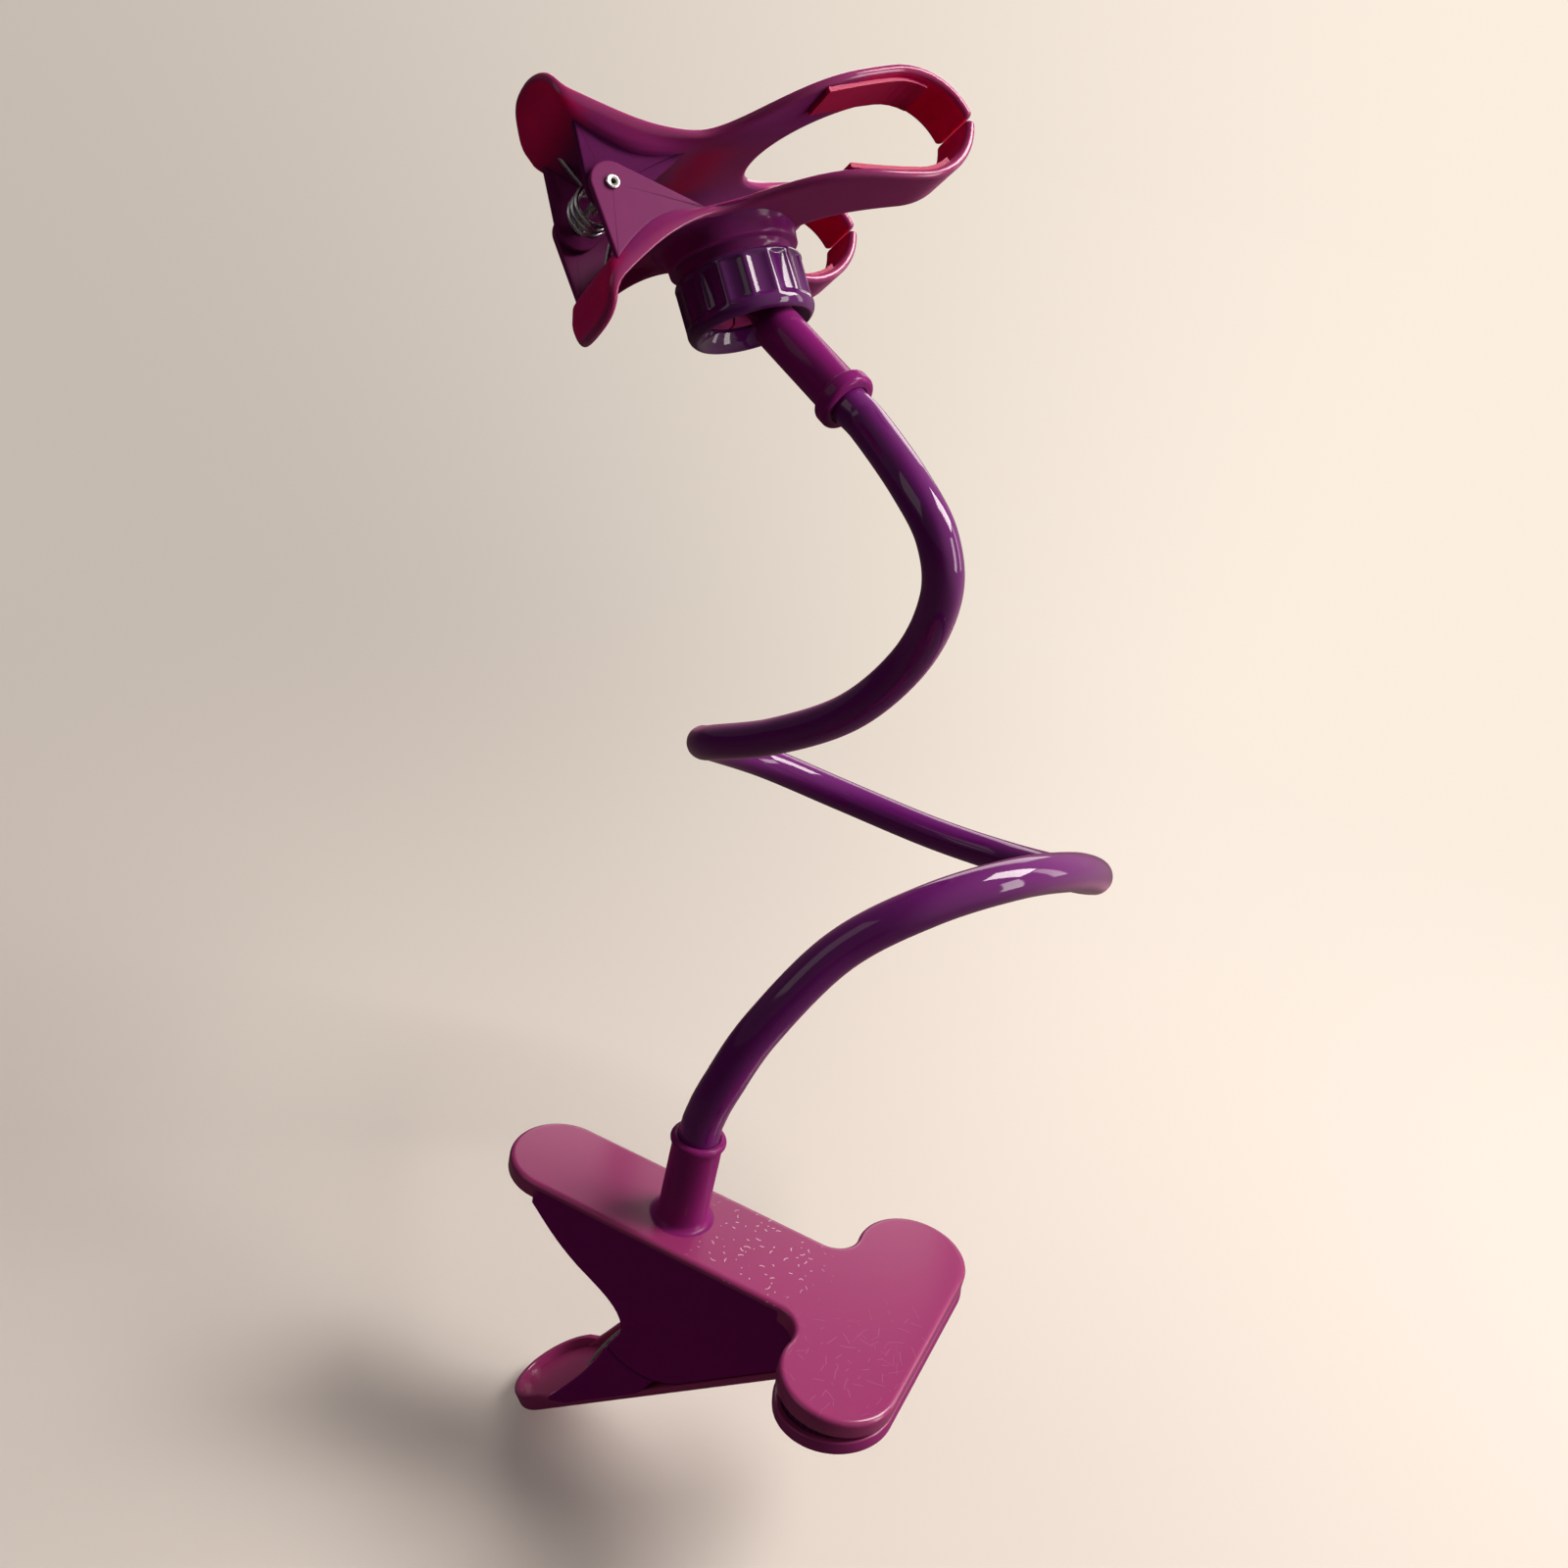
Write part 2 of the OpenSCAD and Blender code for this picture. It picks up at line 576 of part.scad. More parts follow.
clamp_leg_angle = 24;
module clamp_spring() {
    r = clamp_coil_d / 2;
    pitch = clamp_wire_d + 0.4;
    half = pitch * (5 * 360 + 2 * clamp_leg_angle) / 720;
    front_leg = [[3.6, 7.6], [-2.6, 21.5], [-4.2, 24.9], [-6.6, 27.5]];
    rear_leg = reversed([for (p = front_leg) [p[0], -p[1]]]);
    path = concat(leg(rear_leg, -half),
                  coil(r, pitch, -clamp_leg_angle, 5 * 360 + clamp_leg_angle), leg(front_leg, half));
    color(steel) place_head() swept_bar(path, clamp_wire_d / 2, 8, [0, 1, 0]);
}

// Soft pads on the inner faces of the forks
pad_line = concat([for (i = [6 : len(jaw_arm) - 1]) jaw_arm[i]], [for (i = [1 : 4]) jaw_hook[i]]);
pad_margin = 2.4;
module fork_pad(side) {
    inner = -jaw_t / 2 - bond;
    intersection() {
        rotate([90, 0, 0]) linear_extrude(2 * fork_y, center = true)
            polygon(band(pad_line, inner - fork_pad_t, inner));
        mirror([0, side < 0 ? 1 : 0, 0]) translate([0, fork_gap_y + pad_margin, 0])
            cube([120, fork_y - fork_gap_y - 2 * pad_margin, 40]);
    }
}
module rear_pad_near() { color(rubber) place_head() mirror([0, 0, 1]) fork_pad(-1); }
module rear_pad_far() { color(rubber) place_head() mirror([0, 0, 1]) fork_pad(1); }
module front_pad_near() { color(rubber) place_head() fork_pad(-1); }
module front_pad_far() { color(rubber) place_head() fork_pad(1); }

base_upper_jaw();
base_lower_jaw();
base_upper_pad();
base_lower_pad();
base_hinge_pin();
base_spring();
arm_sheath();
arm_core();
arm_fixing_screw();
arm_screw_washer();
ball_stud();
lock_nut();
rear_jaw();
front_jaw();
clamp_hinge_rivet();
clamp_spring();
rear_pad_near();
rear_pad_far();
front_pad_near();
front_pad_far();
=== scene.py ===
import bpy, bmesh
from math import sin, cos, pi, radians, degrees, sqrt, atan2, acos
from mathutils import Vector, Matrix, Euler


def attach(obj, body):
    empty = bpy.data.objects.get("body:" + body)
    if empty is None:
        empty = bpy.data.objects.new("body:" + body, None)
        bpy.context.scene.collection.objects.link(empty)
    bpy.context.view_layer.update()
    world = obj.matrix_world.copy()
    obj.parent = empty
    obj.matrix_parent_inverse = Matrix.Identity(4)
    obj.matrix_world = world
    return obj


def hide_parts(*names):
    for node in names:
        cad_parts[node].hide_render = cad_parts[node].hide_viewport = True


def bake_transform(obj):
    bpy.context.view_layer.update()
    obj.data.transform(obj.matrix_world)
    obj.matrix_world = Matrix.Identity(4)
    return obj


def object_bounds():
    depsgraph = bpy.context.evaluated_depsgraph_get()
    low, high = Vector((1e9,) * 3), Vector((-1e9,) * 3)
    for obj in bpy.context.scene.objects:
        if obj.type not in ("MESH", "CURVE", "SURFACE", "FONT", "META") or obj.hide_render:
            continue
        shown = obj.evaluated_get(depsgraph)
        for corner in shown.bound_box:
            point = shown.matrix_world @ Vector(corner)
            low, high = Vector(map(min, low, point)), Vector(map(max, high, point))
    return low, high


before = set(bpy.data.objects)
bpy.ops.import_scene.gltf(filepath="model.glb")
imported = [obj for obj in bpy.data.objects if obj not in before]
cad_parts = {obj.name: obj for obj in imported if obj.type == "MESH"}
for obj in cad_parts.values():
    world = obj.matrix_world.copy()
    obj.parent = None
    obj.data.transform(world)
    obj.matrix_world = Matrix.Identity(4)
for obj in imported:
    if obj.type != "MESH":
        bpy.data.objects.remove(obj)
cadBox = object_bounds()
print("frame loaded:", len(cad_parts), "nodes")

mm = 0.001

# where the three groups sit: clip, ball stud and phone clamp, in millimetres
clipPlace = {"socketX": -64, "plateTop": 6}
ballCentre = Vector((-146.5, 101, 250))
studTurn = Euler((0, radians(112.5), radians(-18))).to_matrix()
headTurn = Euler((radians(-36.5), radians(-10.5), radians(57))).to_matrix()
ballInHead = Vector((41.5, 0, -27.5))

# how fine the meshes are: how close two points may lie, steps and flat margin of a rounded edge, limit of a mitre,
# share of the way to a bore for the ring round it, width of a wire's end, and what the clean-up merges, in metres
fine = {"samePoint": 0.02, "edgeSteps": 4, "edgeMargin": 0.35, "mitre": 0.35, "boreRing": 0.1, "wireEnd": 0.6,
        "merge": 2e-6, "sliver": 1e-6}
plainShine = 0.3  # for points of a jaw that are given no shine of their own


def onClip(x, y, z):
    return Vector((x + clipPlace["socketX"], y, z + clipPlace["plateTop"]))


def onHead(x, y, z):
    return ballCentre + headTurn @ (Vector((x, y, z)) - ballInHead)


def onJoint(x, y, w):
    return ballCentre + headTurn @ Vector((x, -y, -w))


def onStud(x, y, w):
    return ballCentre + studTurn @ Vector((x, y, w))


# curve helpers
def smooth(t):
    t = max(0.0, min(1.0, t))
    return t * t * (3 - 2 * t)


def ramp(x, start, end):
    # 0 before start, 1 past end, smooth between them
    return smooth((x - start) / (end - start))


def bezier(a, b, c, d, n):
    a, b, c, d = Vector(a), Vector(b), Vector(c), Vector(d)
    return [(1 - t) ** 3 * a + 3 * (1 - t) ** 2 * t * b + 3 * (1 - t) * t * t * c + t ** 3 * d
            for t in (i / n for i in range(n + 1))]


def arc(centre, r, start, end, n):
    angles = [radians(start + (end - start) * i / n) for i in range(n + 1)]
    return [Vector((centre[0] + r * cos(a), centre[1] + r * sin(a))) for a in angles]


def line(a, b, n):
    a, b = Vector(a), Vector(b)
    return [a.lerp(b, i / n) for i in range(n + 1)]


def joined(*runs):
    points = []
    for run in runs:
        for p in run:
            if not points or (p - points[-1]).length > fine["samePoint"]:
                points.append(p)
    return points


def bezierChain(points, counts):
    # curves one after another, each starting at the last one's end
    return joined(*(bezier(*points[3 * i:3 * i + 4], n) for i, n in enumerate(counts)))


def spline(points, steps):
    made = []
    last = len(points) - 1
    for i in range(last):
        a, b, c, d = points[max(i - 1, 0)], points[i], points[i + 1], points[min(i + 2, last)]
        for k in range(steps):
            t = k / steps
            made.append(0.5 * (2 * b + (c - a) * t + (2 * a - 5 * b + 4 * c - d) * t * t
                               + (3 * b - a - 3 * c + d) * t ** 3))
    return made + [points[-1]]


def quarter(r, steps):
    # (inset, drop) over a rounded edge, from the face to the side
    turns = [pi / 2 * i / steps for i in range(steps + 1)]
    return [(r * (1 - sin(a)), r * (1 - cos(a))) for a in turns]


# mesh helpers: a part has points in mm, their painted light and shade and their shine, faces, and runs of faces with
# another material
def blank():
    return {"points": [], "faces": [], "paintedLightShade": [], "shine": [], "patches": []}


def addRings(part, rings, closedRings=True, loop=False, paintedLightShade=0.0):
    # the painted light and shade is one value, or a list with one for each ring
    base, n, rows = len(part["points"]), len(rings[0]), len(rings)
    for k, ring in enumerate(rings):
        part["points"] += ring
        part["paintedLightShade"] += [paintedLightShade[k] if isinstance(paintedLightShade, list) else paintedLightShade] * n
    for k in range(rows if loop else rows - 1):
        k2 = (k + 1) % rows
        for i in range(n if closedRings else n - 1):
            j = (i + 1) % n
            part["faces"].append([base + k * n + i, base + k * n + j, base + k2 * n + j, base + k2 * n + i])
    return base


def capEnds(part, base, n, rows):
    # close the first and the last of some rings of n points
    last = base + (rows - 1) * n
    part["faces"] += [list(range(base, base + n))[::-1], list(range(last, last + n))]


def insetOutline(outline, scale=None):
    # the direction in which each corner moves for an inset of 1, towards the inside
    n = len(outline)
    area = sum(p[0] * q[1] - q[0] * p[1] for p, q in zip(outline, outline[1:] + outline[:1]))
    turn = 1 if area > 0 else -1
    made = []
    for i in range(n):
        a = (outline[i] - outline[i - 1]).normalized()
        b = (outline[(i + 1) % n] - outline[i]).normalized()
        na, nb = Vector((-a[1], a[0])) * turn, Vector((-b[1], b[0])) * turn
        m = (na + nb) / max(1 + na.dot(nb), fine["mitre"])
        made.append(m * (scale[i] if scale else 1))
    return made


def edgeRings(outline, thick, edge, place, scale=None):
    # rings from the upper face over both rounded edges to the lower one; place(u, v, h) puts them in the frame
    move = insetOutline(outline, scale)
    rows = [(edge + fine["edgeMargin"], thick / 2)]
    rows += [(inset, thick / 2 - drop) for inset, drop in quarter(edge, fine["edgeSteps"])]
    rows += [(inset, -h) for inset, h in reversed(rows)]
    return [[place(*(p + m * inset), h) for p, m in zip(outline, move)] for inset, h in rows]


def twoSides(paintedLightShade, rings):
    return [paintedLightShade[0]] * (len(rings) // 2) + [paintedLightShade[1]] * (len(rings) // 2)


def panel(part, outline, thick, edge, place, paintedLightShade, scale=None):
    # a flat plate with rounded edges; the painted light and shade given is that of its upper and its lower face
    rings = edgeRings(outline, thick, edge, place, scale)
    base = addRings(part, rings, paintedLightShade=twoSides(paintedLightShade, rings))
    capEnds(part, base, len(outline), len(rings))


def eyePanel(part, outline, holeR, thick, edge, place, paintedLightShade):
    # as panel, with a round hole at (0, 0); the outline is seen whole from the hole's centre
    rings = edgeRings(outline, thick, edge, place)
    bore = [Vector((p[0], p[1])).normalized() * holeR for p in outline]
    bores = [[place(*p, h) for p in bore] for h in (thick / 2, -thick / 2)]
    flats = [[a.lerp(b, fine["boreRing"]) for a, b in zip(ring, hole)]
             for ring, hole in ((rings[0], bores[0]), (rings[-1], bores[1]))]
    rings = [bores[0], flats[0]] + rings + [flats[1], bores[1]]
    addRings(part, rings, loop=True, paintedLightShade=twoSides(paintedLightShade, rings))


def lathe(part, profile, place, sides, start=0, end=360, paintedLightShade=0.0, shape=None):
    # profile is a list of (radius, height); shape(radius, angle, height) may change a radius
    whole = end - start >= 360
    count = sides if whole else sides + 1
    angles = [radians(start + (end - start) * i / sides) for i in range(count)]
    rings = []
    for r, w in profile:
        radii = [shape(r, a, w) if shape else r for a in angles]
        rings.append([place(rr * cos(a), rr * sin(a), w) for rr, a in zip(radii, angles)])
    base = addRings(part, rings, closedRings=whole, paintedLightShade=paintedLightShade)
    if not whole:
        rows = len(profile)
        last = base + (rows - 1) * count
        part["faces"].append([base + k * count for k in range(rows)][::-1])
        part["faces"].append([base + k * count + sides for k in range(rows)])
        part["faces"] += [[base + i, last + i, last + i + 1, base + i + 1] for i in range(sides)]


def tube(part, path, r, sides, side, domed=False):
    # side is the direction in which each ring starts
    across = Vector(side)
    rings = []
    n = len(path)
    radii = [r] * n
    if domed:
        radii[0] = radii[-1] = r * fine["wireEnd"]
    turns = [2 * pi * k / sides for k in range(sides)]
    for i, p in enumerate(path):
        t = (path[min(i + 1, n - 1)] - path[max(i - 1, 0)]).normalized()
        across = (across - across.dot(t) * t).normalized()
        up = t.cross(across)
        rings.append([p + radii[i] * (across * cos(a) + up * sin(a)) for a in turns])
    capEnds(part, addRings(part, rings), sides, n)


def addObject(name, data):
    made = bpy.data.objects.new(name, data)
    bpy.context.scene.collection.objects.link(made)
    return made


def makePiece(name, part, *skins, sharp=38):
    mesh = bpy.data.meshes.new(name)
    mesh.from_pydata([p * mm for p in part["points"]], [], part["faces"])
    paintedLightShade = mesh.attributes.new("paintedLightShade", "FLOAT", "POINT")
    paintedLightShade.data.foreach_set("value", part["paintedLightShade"])
    if part["shine"]:
        shine = mesh.attributes.new("shine", "FLOAT", "POINT")
        rest = len(part["points"]) - len(part["shine"])
        shine.data.foreach_set("value", part["shine"] + [plainShine] * rest)
    for first, last, patch in part["patches"]:
        for polygon in mesh.polygons[first:last]:
            polygon.material_index = patch
    work = bmesh.new()
    work.from_mesh(mesh)
    bmesh.ops.remove_doubles(work, verts=work.verts, dist=fine["merge"])
    bmesh.ops.dissolve_degenerate(work, edges=work.edges, dist=fine["sliver"])
    bmesh.ops.recalc_face_normals(work, faces=work.faces)
    work.to_mesh(mesh)
    work.free()
    mesh.shade_smooth()
    mesh.set_sharp_from_angle(angle=radians(sharp))
    for skin in skins:
        mesh.materials.append(skin)
    return addObject(name, mesh)


# node helpers
def setValues(node, **values):
    # small letters set the node's own fields, capitals its inputs
    for key, value in values.items():
        if key[0].islower():
            setattr(node, key, value)
        else:
            node.inputs[key.replace("_", " ")].default_value = value


def addNode(tree, kind, **values):
    made = tree.nodes.new(kind)
    setValues(made, **values)
    return made


def groupNode(tree, group, **values):
    return addNode(tree, "ShaderNodeGroup", node_tree=group, **values)


def objectPlace(tree):
    return tree.nodes.new("ShaderNodeTexCoord").outputs["Object"]


def mathNode(tree, operation, a, b=None, clamp=False):
    made = addNode(tree, "ShaderNodeMath", operation=operation, use_clamp=clamp)
    for socket, v in zip(made.inputs, (a, b)):
        if isinstance(v, (int, float)):
            socket.default_value = v
        elif v is not None:
            tree.links.new(v, socket)
    return made.outputs[0]


def times(tree, a, b, clamp=False):
    return mathNode(tree, "MULTIPLY", a, b, clamp)


def vectorNode(tree, operation, a, b=None):
    made = addNode(tree, "ShaderNodeVectorMath", operation=operation)
    tree.links.new(a, made.inputs[0])
    if isinstance(b, (tuple, Vector)):
        made.inputs[1].default_value = b
    elif b is not None:
        tree.links.new(b, made.inputs["Scale" if operation == "SCALE" else 1])
    return made.outputs


def rangeNode(tree, value, low, high, toLow=0.0, toHigh=1.0):
    made = addNode(tree, "ShaderNodeMapRange", interpolation_type="SMOOTHSTEP", From_Min=low, From_Max=high,
                   To_Min=toLow, To_Max=toHigh)
    tree.links.new(value, made.inputs["Value"])
    return made.outputs["Result"]


def mixColour(tree, factor, a, b):
    made = addNode(tree, "ShaderNodeMix", data_type="RGBA")
    colours = [s for s in made.inputs if s.type == "RGBA"]
    tree.links.new(factor, made.inputs["Factor"])
    for socket, v in zip(colours, (a, b)):
        if isinstance(v, tuple):
            socket.default_value = (*v, 1)
        else:
            tree.links.new(v, socket)
    return [s for s in made.outputs if s.type == "RGBA"][0]


def addBump(tree, shader, height, strength, distance):
    bump = addNode(tree, "ShaderNodeBump", Strength=strength, Distance=distance)
    tree.links.new(height, bump.inputs["Height"])
    tree.links.new(bump.outputs["Normal"], shader.inputs["Normal"])


def newMaterial(name):
    material = bpy.data.materials.new(name)
    material.use_nodes = True
    return material, material.node_tree, material.node_tree.nodes["Principled BSDF"]


# shader node groups shared by the materials
def newGroup(name, inputs, outputs):
    # inputs by first value, None for a vector; outputs by kind
    group = bpy.data.node_groups.new(name, "ShaderNodeTree")
    for label, value in inputs.items():
        kind = "NodeSocketVector" if value is None else "NodeSocketFloat"
        socket = group.interface.new_socket(name=label, in_out="INPUT", socket_type=kind)
        if value is not None:
            socket.default_value = value
    for label, kind in outputs.items():
        group.interface.new_socket(name=label, in_out="OUTPUT", socket_type=kind)
    return group, group.nodes.new("NodeGroupInput"), group.nodes.new("NodeGroupOutput")


def mouldedGrain():
    # fine unevenness of moulded plastic: slow waviness, fine grain and a cloudy tone
    group, given, result = newGroup("mouldedGrain", {"Wave Size": 60.0, "Grain Size": 900.0},
                                    {"Height": "NodeSocketFloat", "Tone": "NodeSocketFloat"})
    place = objectPlace(group)
    slow = addNode(group, "ShaderNodeTexNoise", Detail=2.0, Roughness=0.5)
    fast = addNode(group, "ShaderNodeTexNoise", Detail=3.0, Roughness=0.6)
    for noise, size in ((slow, "Wave Size"), (fast, "Grain Size")):
        group.links.new(place, noise.inputs["Vector"])
        group.links.new(given.outputs[size], noise.inputs["Scale"])
    slowShare, fastShare = times(group, slow.outputs["Fac"], 0.85), times(group, fast.outputs["Fac"], 0.15)
    height = mathNode(group, "ADD", slowShare, fastShare)
    group.links.new(height, result.inputs["Height"])
    group.links.new(slow.outputs["Fac"], result.inputs["Tone"])
    return group


def scuffMarks():
    # short pale dashes and hair scratches, each in a cell of its own and turned its own way
    group, given, result = newGroup("scuffMarks", {"Dash Scale": 260.0, "Dash Width": 0.05, "Dash Length": 0.22,
                                                   "Share": 0.4, "Bend": 0.8}, {"Mask": "NodeSocketFloat"})
    scaled = vectorNode(group, "SCALE", objectPlace(group), given.outputs["Dash Scale"])[0]
    cells = addNode(group, "ShaderNodeTexVoronoi", feature="F1", Scale=1.0, Randomness=1.0)
    group.links.new(scaled, cells.inputs["Vector"])
    local = vectorNode(group, "SUBTRACT", scaled, cells.outputs["Position"])[0]
    dice = group.nodes.new("ShaderNodeSeparateColor")
    group.links.new(cells.outputs["Color"], dice.inputs[0])
    turned = addNode(group, "ShaderNodeVectorRotate", rotation_type="Z_AXIS")
    group.links.new(local, turned.inputs["Vector"])
    group.links.new(times(group, dice.outputs[0], 6.283), turned.inputs["Angle"])
    split = group.nodes.new("ShaderNodeSeparateXYZ")
    group.links.new(turned.outputs[0], split.inputs[0])
    curve = times(group, times(group, split.outputs[0], split.outputs[0]), given.outputs["Bend"])
    bend = mathNode(group, "ABSOLUTE", mathNode(group, "ADD", split.outputs[1], curve))
    width = mathNode(group, "LESS_THAN", bend, given.outputs["Dash Width"])
    reach = times(group, given.outputs["Dash Length"], mathNode(group, "ADD", dice.outputs[2], 0.15))
    length = mathNode(group, "LESS_THAN", mathNode(group, "ABSOLUTE", split.outputs[0]), reach)
    chosen = mathNode(group, "LESS_THAN", dice.outputs[1], given.outputs["Share"])
    group.links.new(times(group, times(group, width, length), chosen), result.inputs["Mask"])
    return group


grainGroup = mouldedGrain()
scuffGroup = scuffMarks()


def scuffMask(tree, spot):
    # marks near a place of the part and above a height, both in metres
    gap = vectorNode(tree, "DISTANCE", objectPlace(tree), spot["centre"])["Value"]
    near = rangeNode(tree, gap, spot["radius"], spot["radius"] + spot["soft"], 1.0, 0.0)
    split = tree.nodes.new("ShaderNodeSeparateXYZ")
    tree.links.new(objectPlace(tree), split.inputs[0])
    near = times(tree, near, mathNode(tree, "GREATER_THAN", split.outputs[2], clipFace))
    marks = groupNode(tree, scuffGroup, **spot["marks"])
    return times(tree, times(tree, marks.outputs["Mask"], near), spot["strength"])


# what the plastics share unless a look says otherwise: sizes of waves and grain, clouds in tone and roughness, the
# bump's depth, how far red, green and blue light travel inside, and the pink bloom at grazing angles
moulded = {"wave": 90.0, "grain": 1400.0, "cloud": 0.2, "roughCloud": 0.08, "bumpDepth": 0.0006, "ior": 1.5,
           "travel": (1.0, 0.06, 0.22), "bloomRough": 0.35, "bloomTint": (1.0, 0.42, 0.62, 1), "coatRough": 0.12}


def plastic(name, look):
    # see-into plastic: deep, with painted warm light where the painted light and shade attribute is above 0 and
    # painted cool shade where it is below 0
    look = {**moulded, **look}
    material, tree, shader = newMaterial(name)
    grain = groupNode(tree, grainGroup, Wave_Size=look["wave"], Grain_Size=look["grain"])
    paintedLightShade = addNode(tree, "ShaderNodeAttribute", attribute_name="paintedLightShade").outputs["Fac"]
    cloud = times(tree, mathNode(tree, "SUBTRACT", grain.outputs["Tone"], 0.5), look["cloud"])
    colour = mixColour(tree, mathNode(tree, "ADD", paintedLightShade, cloud, clamp=True), look["deep"], look["warm"])
    if "cool" in look:
        colour = mixColour(tree, times(tree, paintedLightShade, -1.0, clamp=True), colour, look["cool"])
    for spot in look.get("scuffs", []):
        colour = mixColour(tree, scuffMask(tree, spot), colour, spot["colour"])
    tree.links.new(colour, shader.inputs["Base Color"])
    low, high = look["rough"] - look["roughCloud"], look["rough"] + look["roughCloud"]
    tree.links.new(rangeNode(tree, grain.outputs["Tone"], 0.0, 1.0, low, high), shader.inputs["Roughness"])
    addBump(tree, shader, grain.outputs["Height"], look["bump"], look["bumpDepth"])
    setValues(shader, Subsurface_Weight=look["through"], Subsurface_Radius=look["travel"],
              Subsurface_Scale=look["depth"], IOR=look["ior"], Specular_IOR_Level=0.0, Sheen_Weight=look["sheen"],
              Sheen_Roughness=look["bloomRough"], Sheen_Tint=look["bloomTint"], Coat_Roughness=look["coatRough"])
    if "rimCoat" in look:
        # only rims and outer faces keep a clear gloss
        shine = addNode(tree, "ShaderNodeAttribute", attribute_name="shine").outputs["Fac"]
        tree.links.new(times(tree, shine, look["rimCoat"]), shader.inputs["Coat Weight"])
    elif "openCoat" in look:
        # faces turned to the dark side keep little gloss
        opened = mathNode(tree, "ADD", paintedLightShade, 1.0, clamp=True)
        tree.links.new(times(tree, opened, look["openCoat"]), shader.inputs["Coat Weight"])
    else:
        setValues(shader, Coat_Weight=look["coat"])
    return material


# worn places of the clip's plate: dashes round its middle, hair scratches beside and before them
clipFace = 0.0052  # marks show above this height, in metres
flecks = {"centre": onClip(25, 0, 0) * mm, "radius": 0.010, "soft": 0.016, "strength": 0.75,
          "colour": (0.95, 0.70, 0.80),
          "marks": {"Dash_Scale": 430.0, "Dash_Width": 0.060, "Dash_Length": 0.40, "Share": 0.25, "Bend": 0.9}}
hairs = {"centre": onClip(62, -26, 0) * mm, "radius": 0.008, "soft": 0.018, "strength": 0.16,
         "colour": (0.85, 0.45, 0.62),
         "marks": {"Dash_Scale": 260.0, "Dash_Width": 0.022, "Dash_Length": 0.75, "Share": 0.75, "Bend": 0.12}}
frontHairs = {"centre": onClip(74, -6, 0) * mm, "radius": 0.006, "soft": 0.014, "strength": 0.13,
              "colour": (0.85, 0.45, 0.62),
              "marks": {"Dash_Scale": 220.0, "Dash_Width": 0.018, "Dash_Length": 0.7, "Share": 0.55, "Bend": 0.2}}
# the plum's own colour is deep; warm is painted light for faces turned inwards, cool is painted shade for faces
# turned to the dark side
clipLook = {"deep": (0.345, 0.036, 0.156), "warm": (0.38, 0.036, 0.14), "cool": (0.21, 0.006, 0.150),
            "rough": 0.32, "bump": 0.10, "wave": 70.0, "through": 0.10, "depth": 0.002, "sheen": 0.15,
            "openCoat": 0.95, "coatRough": 0.2, "scuffs": [flecks, hairs, frontHairs]}
# deep is the outer faces' own colour; warm is a painted crimson glow of light shining through the thin plastic, cool
# is painted violet shade
clampLook = {"deep": (0.30, 0.026, 0.150), "warm": (0.72, 0.005, 0.115), "cool": (0.17, 0.014, 0.19),
             "rough": 0.25, "bump": 0.12, "through": 0.5, "depth": 0.004, "sheen": 0.35, "rimCoat": 1.0}
# the ears' colours are lit and shaded copies: deep is painted shade for the front ears' outer faces, in the shadow of
# their jaw's rim, warm is painted light on the rear ears
earLook = {"deep": (0.100, 0.010, 0.075), "warm": (0.27, 0.030, 0.15), "rough": 0.40, "bump": 0.08,
           "through": 0.04, "depth": 0.001, "sheen": 0.1, "rimCoat": 1.0, "coatRough": 0.4}
armLook = {"deep": (0.155, 0.008, 0.160), "warm": (0.24, 0.015, 0.18), "rough": 0.22, "bump": 0.16, "wave": 120.0,
           "grain": 900.0, "through": 0.04, "depth": 0.0015, "sheen": 0.5, "coat": 1.0, "coatRough": 0.07}
nutLook = {"deep": (0.110, 0.008, 0.125), "warm": (0.22, 0.015, 0.15), "rough": 0.20, "bump": 0.06,
           "through": 0.05, "depth": 0.0015, "sheen": 0.3, "coat": 1.0, "coatRough": 0.08}
studLook = {"deep": (0.24, 0.012, 0.16), "warm": (0.26, 0.015, 0.14), "rough": 0.30, "bump": 0.08,
            "through": 0.08, "depth": 0.0015, "sheen": 0.3, "coat": 0.3}
# the pads' crimson is made bright to stand in for light shining through the forks: their own colour with painted
# light
padLook = {"deep": (0.50, 0.004, 0.085), "warm": (0.56, 0.006, 0.100), "rough": 0.4, "bump": 0.10, "wave": 120.0,
           "through": 0.3, "depth": 0.003, "sheen": 0.1, "coat": 0.2}
clipPlastic = plastic("plumClipPlastic", clipLook)
clampPlastic = plastic("crimsonClampPlastic", clampLook)
earPlastic = plastic("purpleEarPlastic", earLook)
armPlastic = plastic("violetArmSheath", armLook)
nutPlastic = plastic("violetNutPlastic", nutLook)
studPlastic = plastic("purpleStudPlastic", studLook)
forkRubber = plastic("crimsonPadRubber", padLook)


# what the steels share: where the marks' height makes them smoother or rougher, by how much, and their bump
drawn = {"worn": (0.35, 0.65), "smoother": 0.08, "rougher": 0.1, "bump": 0.15, "bumpDepth": 0.0002}


def drawnSteel(name, look):
    # bright wire or turned metal with fine uneven marks
    material, tree, shader = newMaterial(name)
    marks = groupNode(tree, grainGroup, Wave_Size=look["wave"], Grain_Size=look["grain"])
    tree.links.new(mixColour(tree, marks.outputs["Tone"], look["dark"], look["light"]), shader.inputs["Base Color"])
    low, high = look["rough"] - drawn["smoother"], look["rough"] + drawn["rougher"]
    tree.links.new(rangeNode(tree, marks.outputs["Height"], *drawn["worn"], low, high), shader.inputs["Roughness"])
    addBump(tree, shader, marks.outputs["Height"], drawn["bump"], drawn["bumpDepth"])
    setValues(shader, Metallic=1.0)
    return material


